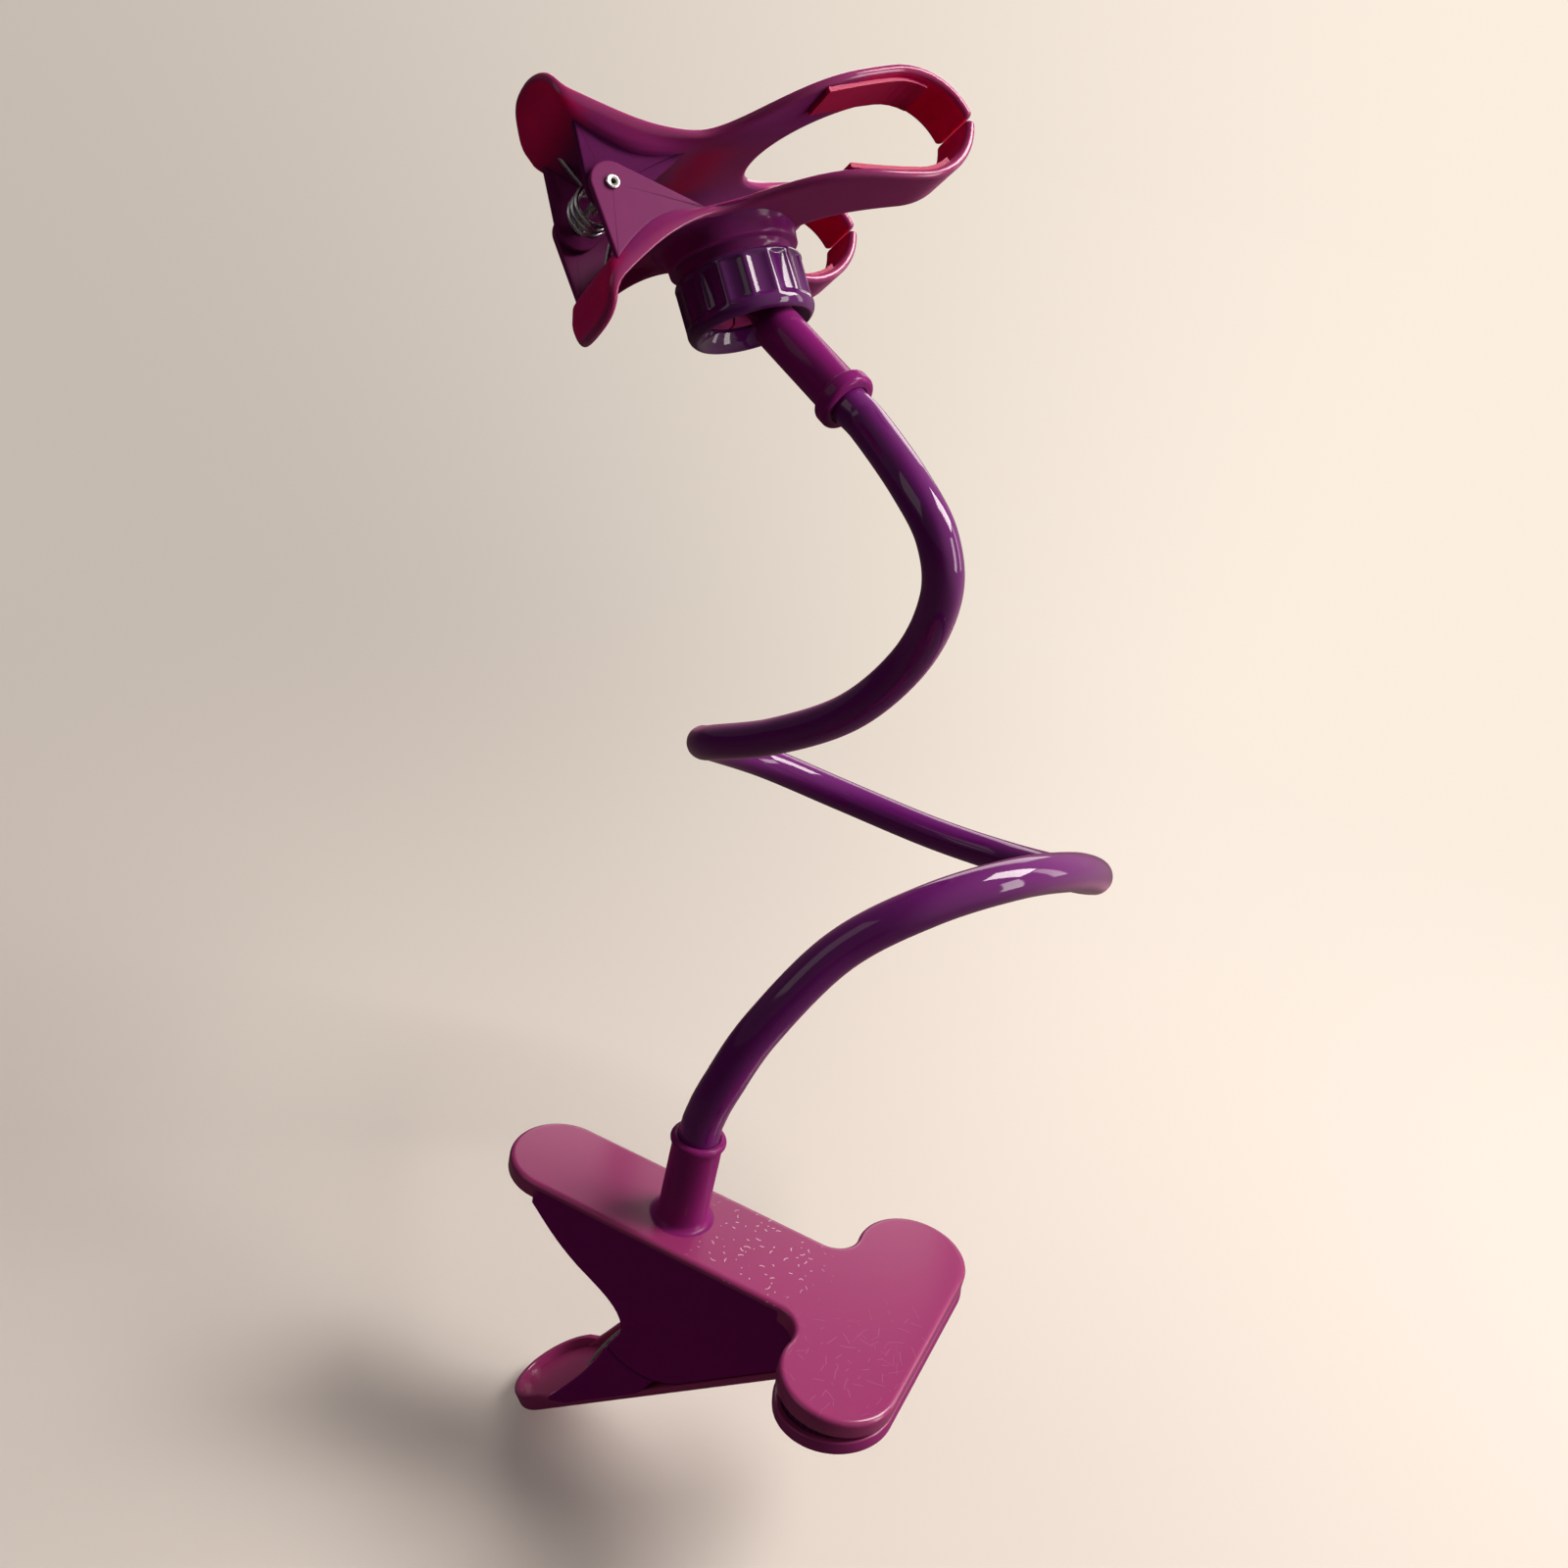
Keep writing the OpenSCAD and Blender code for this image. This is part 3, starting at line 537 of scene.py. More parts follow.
springSteel = drawnSteel("springWire", {"dark": (0.42, 0.42, 0.44), "light": (0.72, 0.71, 0.72), "rough": 0.28,
                                        "wave": 400.0, "grain": 2600.0})
rivetSteel = drawnSteel("rivetSteel", {"dark": (0.62, 0.61, 0.60), "light": (0.85, 0.84, 0.83), "rough": 0.24,
                                       "wave": 300.0, "grain": 2200.0})
screwSteel = drawnSteel("screwSteel", {"dark": (0.45, 0.45, 0.46), "light": (0.7, 0.7, 0.7), "rough": 0.32,
                                       "wave": 300.0, "grain": 2200.0})
coreRod = drawnSteel("aluminiumRod", {"dark": (0.6, 0.6, 0.62), "light": (0.78, 0.78, 0.8), "rough": 0.4,
                                      "wave": 200.0, "grain": 1800.0})


def ribbedRubber(name, look):
    # soft pad with ribs across its grip
    material, tree, shader = newMaterial(name)
    grain = groupNode(tree, grainGroup, Wave_Size=look["wave"], Grain_Size=look["grain"])
    tree.links.new(mixColour(tree, grain.outputs["Tone"], look["dark"], look["light"]), shader.inputs["Base Color"])
    setValues(shader, Roughness=look["rough"])
    ribs = addNode(tree, "ShaderNodeTexWave", bands_direction=look["along"], Scale=look["ribs"])
    tree.links.new(objectPlace(tree), ribs.inputs["Vector"])
    height = mathNode(tree, "ADD", ribs.outputs["Fac"], times(tree, grain.outputs["Height"], look["grainShare"]))
    addBump(tree, shader, height, look["bump"], look["bumpDepth"])
    return material


clipRubber = ribbedRubber("clipPadRubber", {"dark": (0.10, 0.012, 0.07), "light": (0.15, 0.02, 0.10), "rough": 0.62,
                                            "wave": 150.0, "grain": 2000.0, "grainShare": 0.1, "along": "X",
                                            "ribs": 160.0, "bump": 0.6, "bumpDepth": 0.0006})
print("materials made")

# table clip: upper jaw with its walls and arm socket
clip = {"handleW": 32, "reach": 41.4, "lobeX": 64, "lobeY": 28, "lobeR": 16.6, "waistR": 8, "plate": 2.4, "rim": 5.4,
        "rimT": 2.2, "lipR": 0.5, "edge": 1.5, "wall": 3, "wallEdge": 0.7, "hinge": (4, -28), "sweepR": 21,
        "slope": 39.4, "tailX": 47, "tailZ": -8, "socketH": 29.6, "socketR": 7.4, "lip": 1.4, "foot": 2.2,
        "boreR": 6.15, "grip": 25, "screwR": 1.7, "bossR": 5.5, "bossH": 8,
        "notch": [(-41.4, -7.2), (-36.5, -11.6), (-32, -16.6), (-23, -21.6), (-14, -26.2), (-4.8, -29.5),
                  (-5.3, -38)],
        "notchFoot": [(-5.4, -38.4), (-8.2, -44.2)], "sweepFrom": -126.4}
halfW = clip["handleW"] / 2
waistY = halfW + clip["waistR"]
waistX = clip["lobeX"] - sqrt((clip["lobeR"] + clip["waistR"]) ** 2 - (clip["lobeY"] - waistY) ** 2)
waistEnd = degrees(atan2(clip["lobeY"] - waistY, clip["lobeX"] - waistX))
frontX = clip["lobeX"] + clip["lobeR"]
lobe = Vector((clip["lobeX"], clip["lobeY"]))


# a column of a tray is (point, outward direction, beside a wall?)
def roundColumns(centre, points):
    return [(p, (p - centre).normalized(), False) for p in points]


def flatColumns(out, points, besideWall=False):
    return [(p, Vector(out), besideWall) for p in points]


def mirroredColumns(half):
    # columns of one half, with the tray's front added, then those of the other half
    half = half + flatColumns((1, 0), line((frontX, clip["lobeY"]), (frontX, 0), 12)[1:])
    other = [(Vector((p[0], -p[1])), Vector((n[0], -n[1])), s) for p, n, s in half]
    return half + other[-2:0:-1]


def clipColumns():
    # round the upper jaw, starting behind the handle
    back, hollow = Vector((-clip["reach"], 0)), Vector((waistX, waistY))
    half = roundColumns(back, arc(back, halfW, 180, 90, 26))
    half += flatColumns((0, 1), line((-clip["reach"], halfW), (waistX, halfW), 34), besideWall=True)
    waist = arc(hollow, clip["waistR"], -90, waistEnd, 18)[1:]
    half += [(p, -n, s) for p, n, s in roundColumns(hollow, waist)]
    return mirroredColumns(half + roundColumns(lobe, arc(lobe, clip["lobeR"], 180 + waistEnd, 0, 40)[1:]))


def traySkin(part, columns, depth, edge, place, paintedLightShade):
    # plate and rim as one skin: face, rounded edge, outside of the rim, its lip, inside, underside
    lipR, plate, rimT, steps, clear = clip["lipR"], clip["plate"], clip["rimT"], 6, 0.06
    rows = [(edge + 2.4, 0), (edge + 0.4, 0)] + [(inset, -drop) for inset, drop in quarter(edge, steps)]
    flush = len(rows) + 1  # from here on, the rim stays clear of the walls' outer faces
    rows += [(0, -edge - 0.3)] + [(drop, inset - depth) for inset, drop in quarter(lipR, 3)]
    rows += [(rimT - lipR, -depth), (rimT - lipR * 0.3, -depth + lipR * 0.3), (rimT, -depth + lipR)]
    rows += [(rimT, -plate - 0.6), (rimT + 0.18, -plate - 0.18), (rimT + 0.6, -plate), (rimT + 1.4, -plate)]
    rings = []
    for k, (inset, z) in enumerate(rows):
        ring = []
        for p, n, besideWall in columns:
            back = clear if besideWall and k >= flush and inset < clear else 0
            q = p - n * (inset + back)
            ring.append(place(q[0], q[1], z))
        rings.append(ring)
    base = addRings(part, rings, paintedLightShade=[paintedLightShade[0]] * (flush + 1) + [paintedLightShade[1]] * (len(rows) - flush - 1))
    capEnds(part, base, len(columns), len(rings))


def sweep(r, start, end, n=14):
    return arc(clip["hinge"], r, start, end, n)


def onPin(x, y, z):
    return onClip(x + clip["hinge"][0], y, z + clip["hinge"][1])


slopeDir = Vector((cos(radians(clip["slope"])), sin(radians(clip["slope"]))))
sweepFoot = sweep(clip["sweepR"], clip["slope"] - 90, clip["slope"] - 90, 1)[0]
slopeTop = sweepFoot + slopeDir * ((clip["tailX"] - sweepFoot[0]) / slopeDir[0])


def clipWalls(part):
    top, back = -clip["edge"] - 0.3, -clip["reach"]
    outline = joined(line((clip["tailX"], top), (back, top), 40), line((back, -5.0), clip["notch"][0], 2),
                     bezierChain(clip["notch"], (8, 12)), line(*clip["notchFoot"], 4),
                     sweep(clip["sweepR"], clip["sweepFrom"], clip["slope"] - 90), line(sweepFoot, slopeTop, 10),
                     [Vector((clip["tailX"], clip["tailZ"]))])
    scale = [0 if p[1] > top - 0.01 else 1 for p in outline]
    # painted shade on the walls' outer faces, painted light on their inner faces
    for side in (1, -1):
        panel(part, outline, clip["wall"], clip["wallEdge"],
              lambda u, v, h: onClip(u, side * (halfW - clip["wall"] / 2 + h), v), (-0.9, 0.75), scale)


def armSocket(part):
    r, h, lip, foot, bore = [clip[key] for key in ("socketR", "socketH", "lip", "foot", "boreR")]
    boss, bottom, floor = clip["bossR"], -clip["bossH"], clip["socketH"] - clip["grip"]
    profile = [(r + foot + 0.6, -0.3), (r + foot + 0.1, 0.02)] + arc((r + foot, foot), foot, -90, -180, 6)
    profile += [(r - 0.02, h * 0.5), (r - 0.06, h - 2 * lip - 1.2)] + arc((r - 0.6, h - lip), lip, -60, 90, 10)
    profile += [(bore + 0.5, h), (bore + 0.12, h - 0.2), (bore, h - 0.7), (bore, floor)]
    profile += [(clip["screwR"], floor), (clip["screwR"], bottom)]
    profile += [(boss - 0.4, bottom), (boss, bottom + 0.4), (boss, -2), (boss + 1, -1)]
    # painted shade on the socket
    lathe(part, profile, onClip, 72, paintedLightShade=-0.7)


upper = blank()
# painted light: the upper tray's inside and underside are given a little of it, its face none
traySkin(upper, clipColumns(), clip["rim"], clip["edge"], onClip, (0.0, 0.35))
clipWalls(upper)
armSocket(upper)
clipUpper = makePiece("clipUpperJaw", upper, clipPlastic)
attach(clipUpper, "root")
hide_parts("base_upper_jaw")

# lower jaw: splayed tray, sloping handle with its rim, ears on the pin and side flanges
lowerJaw = {"rim": 4.4, "splay": 9, "back": 15, "bend": (59.2, -13.5), "handle": 110.6, "handleFrom": 4,
            "handleEdge": 1.0, "handleRim": 5.4, "rimRun": 14, "edge": 1.2, "wallTop": 1.2, "sweep": (-78, -125),
            "flange": [(-9.4, -46.9), (-11.5, -56), (-19, -68), (-26.6, -80.4)], "flangeFrom": 66,
            "earY": 12.5, "earT": 2.4, "earR": 7.6, "earHole": 2.55, "earEdge": 0.5, "earTurn": (38, 196),
            "earFeet": (74, 28)}
splay = radians(lowerJaw["splay"])
lowerZ = -clip["rim"] - 0.3


def onLowerTray(x, y, z):
    # z counts down from the tray's outer face, which looks down
    u, v = x - frontX, -lowerJaw["rim"] - z
    return onClip(frontX + u * cos(splay) - v * sin(splay), y, lowerZ + u * sin(splay) + v * cos(splay))


def lowerColumns():
    back = clip["lobeX"] - lowerJaw["back"]
    stop = degrees(acos(-lowerJaw["back"] / clip["lobeR"]))
    half = flatColumns((-1, 0), line((back, 0), (back, clip["lobeY"] - clip["lobeR"] * sin(radians(stop))), 8)[:-1])
    return mirroredColumns(half + roundColumns(lobe, arc(lobe, clip["lobeR"], 360 - stop, 0, 56)))


def slopePoint(along, up):
    return Vector(lowerJaw["bend"]) - slopeDir * along + Vector((-slopeDir[1], slopeDir[0])) * up


def onSlope(along, across, up):
    p = slopePoint(along, up)
    return onClip(p[0], across, p[1])


def slopingHandle(part):
    start, reach, plate = lowerJaw["handleFrom"], lowerJaw["handle"], clip["plate"]
    tip = arc((reach, 0), halfW, 90, -90, 40)
    outline = joined(line((start, halfW), (reach, halfW), 20), tip, line((reach, -halfW), (start, -halfW), 20))
    # painted light on the handle's face on the side of its rim, and a little on the rim
    panel(part, outline, plate, lowerJaw["handleEdge"], lambda u, v, h: onSlope(u, v, plate / 2 - h), (0.0, 0.5))
    rimFrom, foot = reach - lowerJaw["rimRun"], plate * 0.6
    path = joined(line((rimFrom, halfW), (reach, halfW), 6), tip, line((reach, -halfW), (rimFrom, -halfW), 6))
    rings = []
    for i, p in enumerate(path):
        out = (p - Vector((reach, 0))).normalized() if p[0] >= reach else Vector((0, 1 if p[1] > 0 else -1))
        gap = min(i, len(path) - 1 - i)
        top = foot + (lowerJaw["handleRim"] - foot) * min(1, (gap + 0.2) / 5)
        section = [(0.02, 1.0), (0.0, 1.3), (0.02, top - 0.7), (0.3, top - 0.15), (0.8, top), (1.5, top),
                   (2.0, top - 0.2), (2.2, top - 0.7), (2.2, 1.0)]
        rings.append([onSlope(p[0] - out[0] * a, p[1] - out[1] * a, b) for a, b in section])
    capEnds(part, addRings(part, rings, paintedLightShade=0.2), len(rings[0]), len(rings))


def flangesAndEars(part):
    wallTop, hinge, earT = lowerJaw["wallTop"], Vector(clip["hinge"]), lowerJaw["earT"]
    low, high = slopePoint(lowerJaw["handle"] - 3, wallTop), slopePoint(lowerJaw["flangeFrom"], wallTop)
    flange = joined(sweep(clip["sweepR"] + 0.6, *lowerJaw["sweep"]), bezier(*lowerJaw["flange"], 10),
                    line(low, high, 10))[:-1]
    crown = [p - hinge for p in sweep(lowerJaw["earR"], *lowerJaw["earTurn"], 26)]
    feet = [slopePoint(along, wallTop) - hinge for along in lowerJaw["earFeet"]]
    ear = joined(crown, line(crown[-1], feet[0], 6), line(*feet, 12), line(feet[1], crown[0], 6))[:-1]
    # painted shade on the flanges' outer faces, painted light on their inner faces and on both faces of the ears
    for side in (1, -1):
        panel(part, flange, clip["wall"], clip["wallEdge"],
              lambda u, v, h: onClip(u, side * (halfW - clip["wall"] / 2 - 0.02 + h), v), (-0.9, 0.6))
        eyePanel(part, ear, lowerJaw["earHole"], earT, lowerJaw["earEdge"],
                 lambda u, v, h: onPin(u, side * (lowerJaw["earY"] - earT / 2 + h), v), (0.4, 0.7))


lower = blank()
# painted shade on the lower tray's outside
traySkin(lower, lowerColumns(), lowerJaw["rim"], lowerJaw["edge"], onLowerTray, (-0.4, 0.0))
slopingHandle(lower)
flangesAndEars(lower)
clipLower = makePiece("clipLowerJaw", lower, clipPlastic)
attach(clipLower, "clip_lower")
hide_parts("base_lower_jaw")
print("table clip made")

# bendable arm: the sheath follows the same route as its core and ends on the stud's axis
armRoute = [(-64, 0, 10.9), (-64, 0, 35.6), (-63.5, 0.2, 43), (-61, 1, 54), (-55, 6, 74), (-42, 17, 100),
            (-24, 30, 117), (-7, 53, 123), (3, 85, 116), (5, 119, 101), (-6, 150, 84), (-30, 167, 73), (-62, 172, 69),
            (-98, 170, 71), (-127, 156, 79), (-139, 129, 91), (-128, 103, 104), (-101, 89, 121), (-76, 82, 141),
            (-60, 77, 165), (-53, 67, 189), (-57, 63, 206), (-70, 68, 217)]
arm = {"radius": 6, "steps": 14, "sides": 40, "onStudAxis": (64, 54, 32.3)}
studDir = studTurn @ Vector((0, 0, 1))
armPoints = [Vector(p) for p in armRoute] + [ballCentre + studDir * d for d in arm["onStudAxis"]]
sheath = blank()
tube(sheath, spline(armPoints, arm["steps"]), arm["radius"], arm["sides"], (1, 0, 0))
armSheath = makePiece("armSheath", sheath, armPlastic)
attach(armSheath, "root")
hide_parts("arm_sheath")

# ball stud: ball, neck, taper, sleeve and rolled collar
stud = {"ballR": 8, "neckR": 4.6, "neckEnd": 11, "taperEnd": 17, "sleeveR": 7.2, "sleeveEnd": 54, "collarR": 9.3,
        "collarH": 5.4, "round": 1.5, "bore": 6.15, "boreStart": 32}


def studProfile():
    ball, neck, sleeve, bore = stud["ballR"], stud["neckR"], stud["sleeveR"], stud["bore"]
    neckEnd, taperEnd, end, roll = stud["neckEnd"], stud["taperEnd"], stud["sleeveEnd"], stud["round"]
    neckAt, collarAt, rollR = sqrt(ball ** 2 - neck ** 2), end - stud["collarH"], stud["collarR"] - roll
    profile = [(0.0, -ball)] + [(ball * sin(radians(a)), -ball * cos(radians(a))) for a in range(8, 144, 8)]
    profile += [(neck, neckAt), (neck, neckAt + 1.5), (neck, neckEnd - 0.6), (neck + 0.15, neckEnd + 0.4)]
    profile += [(sleeve - 0.25, taperEnd - 0.6), (sleeve, taperEnd + 0.4), (sleeve, 30)]
    profile += [(sleeve, collarAt - 0.6), (sleeve + 0.3, collarAt)]
    profile += arc((rollR, collarAt + roll), roll, -90, 0, 6) + arc((rollR, end - roll), roll, 0, 90, 6)
    return profile + [(bore + 0.4, end), (bore, end - 0.4), (bore, stud["boreStart"]), (0.0, stud["boreStart"])]


ball = blank()
lathe(ball, studProfile(), onStud, 72)
ballStud = makePiece("ballStud", ball, studPlastic)
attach(ballStud, "stud")
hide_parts("ball_stud")

# lock nut: fluted grip, bevelled mouth, threadless bore
nut = {"top": -5, "end": 13, "r": 19.8, "flutes": 16, "fluteSides": 14, "fluteR": 9, "depth": 0.9,
       "fluteEnds": (1.2, 3.4), "throat": 8, "throatR": 13.2, "mouthR": 17.6, "boreR": 15.7}


def fluted(r, a, w):
    # only the outer face is cut; the flutes fade out at their ends
    if r < nut["r"] - 0.35:
        return r
    pitch = 2 * pi / nut["flutes"]
    d = (a / pitch) % 1 - 0.5
    centre = nut["r"] + nut["fluteR"] - nut["depth"]
    s = centre * sin(d * pitch)
    if abs(s) >= nut["fluteR"]:
        return r
    cut = centre * cos(d * pitch) - sqrt(nut["fluteR"] ** 2 - s * s)
    low, high = nut["top"] + nut["fluteEnds"][0], nut["end"] - nut["fluteEnds"][1]
    return r + smooth(min((w - low) / 0.9, (high - w) / 1.6)) * (min(cut, r) - r)


def nutProfile():
    r, top, end, bore, throat, mouthR = [nut[key] for key in ("r", "top", "end", "boreR", "throat", "mouthR")]
    throatR = nut["throatR"] + 0.1
    profile = [(bore, top + 0.3), (bore + 0.3, top), (r - 1.2, top), (r - 0.6, top + 0.08), (r - 0.25, top + 0.3)]
    profile += [(r, top + 0.9)] + [(r, top + 1.2 + i * 0.3) for i in range(5)]
    profile += [(r, top + 4 + i * 1.6) for i in range(5)] + [(r, end - 5.2 + i * 0.35) for i in range(7)]
    profile += [(r, end - 2.8), (r - 0.1, end - 2.2), (r - 0.45, end - 1.3), (r - 1.0, end - 0.55)]
    profile += [(r - 1.5, end - 0.1), (r - 1.9, end), (mouthR + 0.15, end), (mouthR - 0.1, end - 0.2)]
    profile += [(throatR, throat + 0.15), (throatR, throat - 0.1), (bore, throat - 2.5), (bore, 0)]
    return profile + [profile[0]]


nutPart = blank()
lathe(nutPart, nutProfile(), onJoint, nut["flutes"] * nut["fluteSides"], shape=fluted)
lockNut = makePiece("lockNut", nutPart, nutPlastic, sharp=50)
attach(lockNut, "nut")
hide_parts("lock_nut")
print("arm, stud and nut made")

# phone clamp: two forked jaws, the same sheet mirrored; "side" is its line seen from the side, "outer" and "crotch"
# are its edges in plan, and the scoop's numbers say where the dish starts and where it is full
jaw = {"thick": 3.0, "tipGap": 0.3, "forkY": 45, "forkGapY": 27, "earY": 17.2, "earT": 2.4, "earR": 6.5,
       "earEdge": 0.5, "gap": 0.4, "rivetR": 1.9, "scoop": 5.5, "scoopBack": (-10, -1), "scoopFront": (34, 10),
       "scoopRim": (20, 15.5), "rimPaintedLight": 0.25, "outerShine": 0.25, "planTurn": 96, "sideSteps": (40, 30, 40),
       "side": [(-12.4, 39.5), (-4.5, 28), (9, 12.5), (30, 11), (45, 9.8), (65, 14.8), (85, 16), (95, 16.6),
                (106, 10), (107, -3)],
       "outer": [(-11.5, 0), (-11.5, 10.5), (-9.4, 17), (-2, 19), (9, 20.8), (20, 20), (30, 21.3), (42, 23.5),
                 (50, 44), (72, 44.6)],
       "middle": [(-6.9, 0), (54.4, 0)], "crotch": [(57.5, 0), (57.5, 15), (72, 25), (90, 26.6)]}
handleRun = bezier(*jaw["side"][:4], jaw["sideSteps"][0])
jawRun = bezierChain(jaw["side"], jaw["sideSteps"])
stop = next(i for i, p in enumerate(jawRun) if p[0] > 90 and p[1] < jaw["tipGap"])
above, below = jawRun[stop - 1], jawRun[stop]
jawRun = jawRun[:stop] + [above.lerp(below, (above[1] - jaw["tipGap"]) / (above[1] - below[1]))]
runLength = [0.0]
for before, after in zip(jawRun, jawRun[1:]):
    runLength.append(runLength[-1] + (after - before).length)


def runAt(s):
    # place and normal on the jaw's side line at a length along it
    s = max(0.0, min(s, runLength[-1]))
    i = next((k for k in range(1, len(runLength)) if runLength[k] >= s), len(runLength) - 1)
    t = (s - runLength[i - 1]) / (runLength[i] - runLength[i - 1])
    ends = [(jawRun[min(k + 1, len(jawRun) - 1)] - jawRun[max(k - 1, 0)]).normalized() for k in (i - 1, i)]
    along = ends[0].lerp(ends[1], t).normalized()
    return jawRun[i - 1].lerp(jawRun[i], t), Vector((-along[1], along[0]))


def sideOf(points, i, hand):
    t = (points[min(i + 1, len(points) - 1)] - points[max(i - 1, 0)]).normalized()
    return Vector((t[1], -t[0])) * hand


def lengthAt(x):
    for i in range(1, len(jawRun)):
        if jawRun[i][0] >= x:
            t = (x - jawRun[i - 1][0]) / (jawRun[i][0] - jawRun[i - 1][0])
            return runLength[i - 1] + t * (runLength[i] - runLength[i - 1])
    return runLength[-1]


# past planTurn the plan counts length along the hook, with finer stops at its rounded end
planTurn = jaw["planTurn"]
turnLength = lengthAt(planTurn)
hookEnd = planTurn + runLength[-1] - turnLength
hookStops = [planTurn + (hookEnd - 2 - planTurn) * i / 14 for i in range(1, 15)]
hookStops += [hookEnd - d for d in (1.5, 1.1, 0.75, 0.45, 0.2, 0.06, 0)]


def sheetLines():
    # pairs of plan points (inner, outer); the inner ones lie on the middle line as far as the crotch
    body = joined(bezierChain(jaw["outer"], (22, 14, 24)), line(jaw["outer"][-1], (planTurn, jaw["forkY"]), 8))
    middle = line(*jaw["middle"], 36)
    inner = middle + bezier(*jaw["crotch"], 26) + line(jaw["crotch"][-1], (planTurn, jaw["forkGapY"]), 3)[1:]
    outer = []
    for i in range(len(inner)):
        t = (i / (len(inner) - 1)) * (len(body) - 1)
        k = min(int(t), len(body) - 2)
        outer.append(body[k].lerp(body[k + 1], t - k))
    inner += [Vector((u, jaw["forkGapY"])) for u in hookStops]
    return inner, outer + [Vector((u, jaw["forkY"])) for u in hookStops], len(middle)


def scoopAt(x, y):
    # the handle's middle is dished towards the hinge, its rims stay up
    return jaw["scoop"] * ramp(x, *jaw["scoopBack"]) * ramp(x, *jaw["scoopFront"]) * ramp(abs(y), *jaw["scoopRim"])


def innerPaintedLightShade(x, y):
    # painted light and shade on the inner face: a crimson glow of light shining through at the handle's end, round
    # the crotch and in the hooks, painted violet shade in the dish and arms
    dish = ramp(x, -4, 4) * ramp(x, 40, 22) * ramp(abs(y), 18, 13)
    arms = ramp(x, 34, 46) * ramp(x, 80, 66) * ramp(abs(y), 8, 18)
    crotch = ramp(x, 20, 36) * ramp(x, 54, 36) * ramp(abs(y), 22, 8)
    warmth = max(0.8 * ramp(x, 1, -8), 0.65 * crotch, ramp(x, 68, 80))
    return 1.15 * warmth - 0.15 - 0.45 * max(dish, arms) * (1 - warmth)


def liftSheet(plan, d=0.0):
    # plan point to the bent sheet, d off its middle; along the hook the plan is unrolled
    s = lengthAt(plan[0]) if plan[0] <= planTurn else turnLength + (plan[0] - planTurn)
    p, normal = runAt(s)
    d -= scoopAt(plan[0], plan[1])
    return Vector((p[0] + normal[0] * d, plan[1], p[1] + normal[1] * d)), Vector((normal[0], 0, normal[1]))


def jawSections(inner, outer, crotch, across, steps):
    # rings round the sheet: outer face, outer rim, inner face, then the rim or the middle line on the inner side
    thick, sections = jaw["thick"], []
    turn = [pi / 2 - pi * k / steps for k in range(1, steps)]
    for i in range(len(inner)):
        left = max(0.0, min(1.0, (hookEnd - inner[i][0]) / (thick / 2)))
        r = thick / 2 * (0.12 + 0.88 * sqrt(1 - (1 - left) ** 2))  # the last stretch is rounded off like the rims
        outward = sideOf(outer, i, -1) if i else Vector((-1, 0))
        inward = Vector((1, 0)) if i == crotch else sideOf(inner, i, 1)
        a = outer[i] - outward * (thick - r)
        b = inner[i] - inward * (thick - r) if i >= crotch else inner[i]
        edges = []
        for plan, side in ((a, outward), (b, inward)):
            here, normal = liftSheet(plan)
            edges.append((here, (liftSheet(plan + side * 0.5)[0] - here).normalized(), normal))
        (rimA, outA, upA), (rimB, outB, upB) = edges
        if i < crotch:
            outB = Vector((0, 0, 0))
        section = [liftSheet(b.lerp(a, k / across), r)[0] for k in range(across + 1)]
        section += [rimA + r * (cos(f) * outA + sin(f) * upA) for f in turn]
        section += [liftSheet(b.lerp(a, k / across), -r)[0] for k in range(across, -1, -1)]
        sections.append(section + [rimB + r * (cos(f) * outB + sin(f) * upB) for f in reversed(turn)])
    return sections


def jawSheet(part, up):
    # up is 1 for the front jaw and -1 for the rear one
    inner, outer, crotch = sheetLines()
    n, steps, across = len(inner), 8, 16
    sections = jawSections(inner, outer, crotch, across, steps)
    # the painted light of a section: none on the outer face, a faint glow over the rims, and the inner face's painted
    # light and shade
    faint = [jaw["rimPaintedLight"] * (0.5 - 0.5 * sin(pi / 2 - pi * k / steps)) for k in range(1, steps)]
    lights = [0.0] * (across + 1) + faint + [1.0] * (across + 1) + faint[::-1]
    shines = [jaw["outerShine"]] * (across + 1) + [1.0] * len(faint) + [0.0] * (across + 1) + [1.0] * len(faint)
    m = len(lights)
    for hand in (1, -1):
        base = len(part["points"])
        for section in sections:
            part["points"] += [onHead(p[0], hand * p[1], up * p[2]) for p in section]
            part["paintedLightShade"] += [light * innerPaintedLightShade(p[0], p[1]) for light, p in zip(lights, section)]
            part["shine"] += shines
        for i in range(n - 1):
            row, ahead = base + i * m, base + (i + 1) * m
            for k in range(m if i >= crotch else 2 * across + steps):
                k2 = (k + 1) % m
                part["faces"].append([row + k, row + k2, ahead + k2, ahead + k])
        part["faces"].append([base + (n - 1) * m + k for k in range(m)])


def tangentPoint(r, to, hand):
    a = atan2(to[1], to[0]) + hand * acos(r / Vector(to).length)
    return Vector((r * cos(a), r * sin(a)))


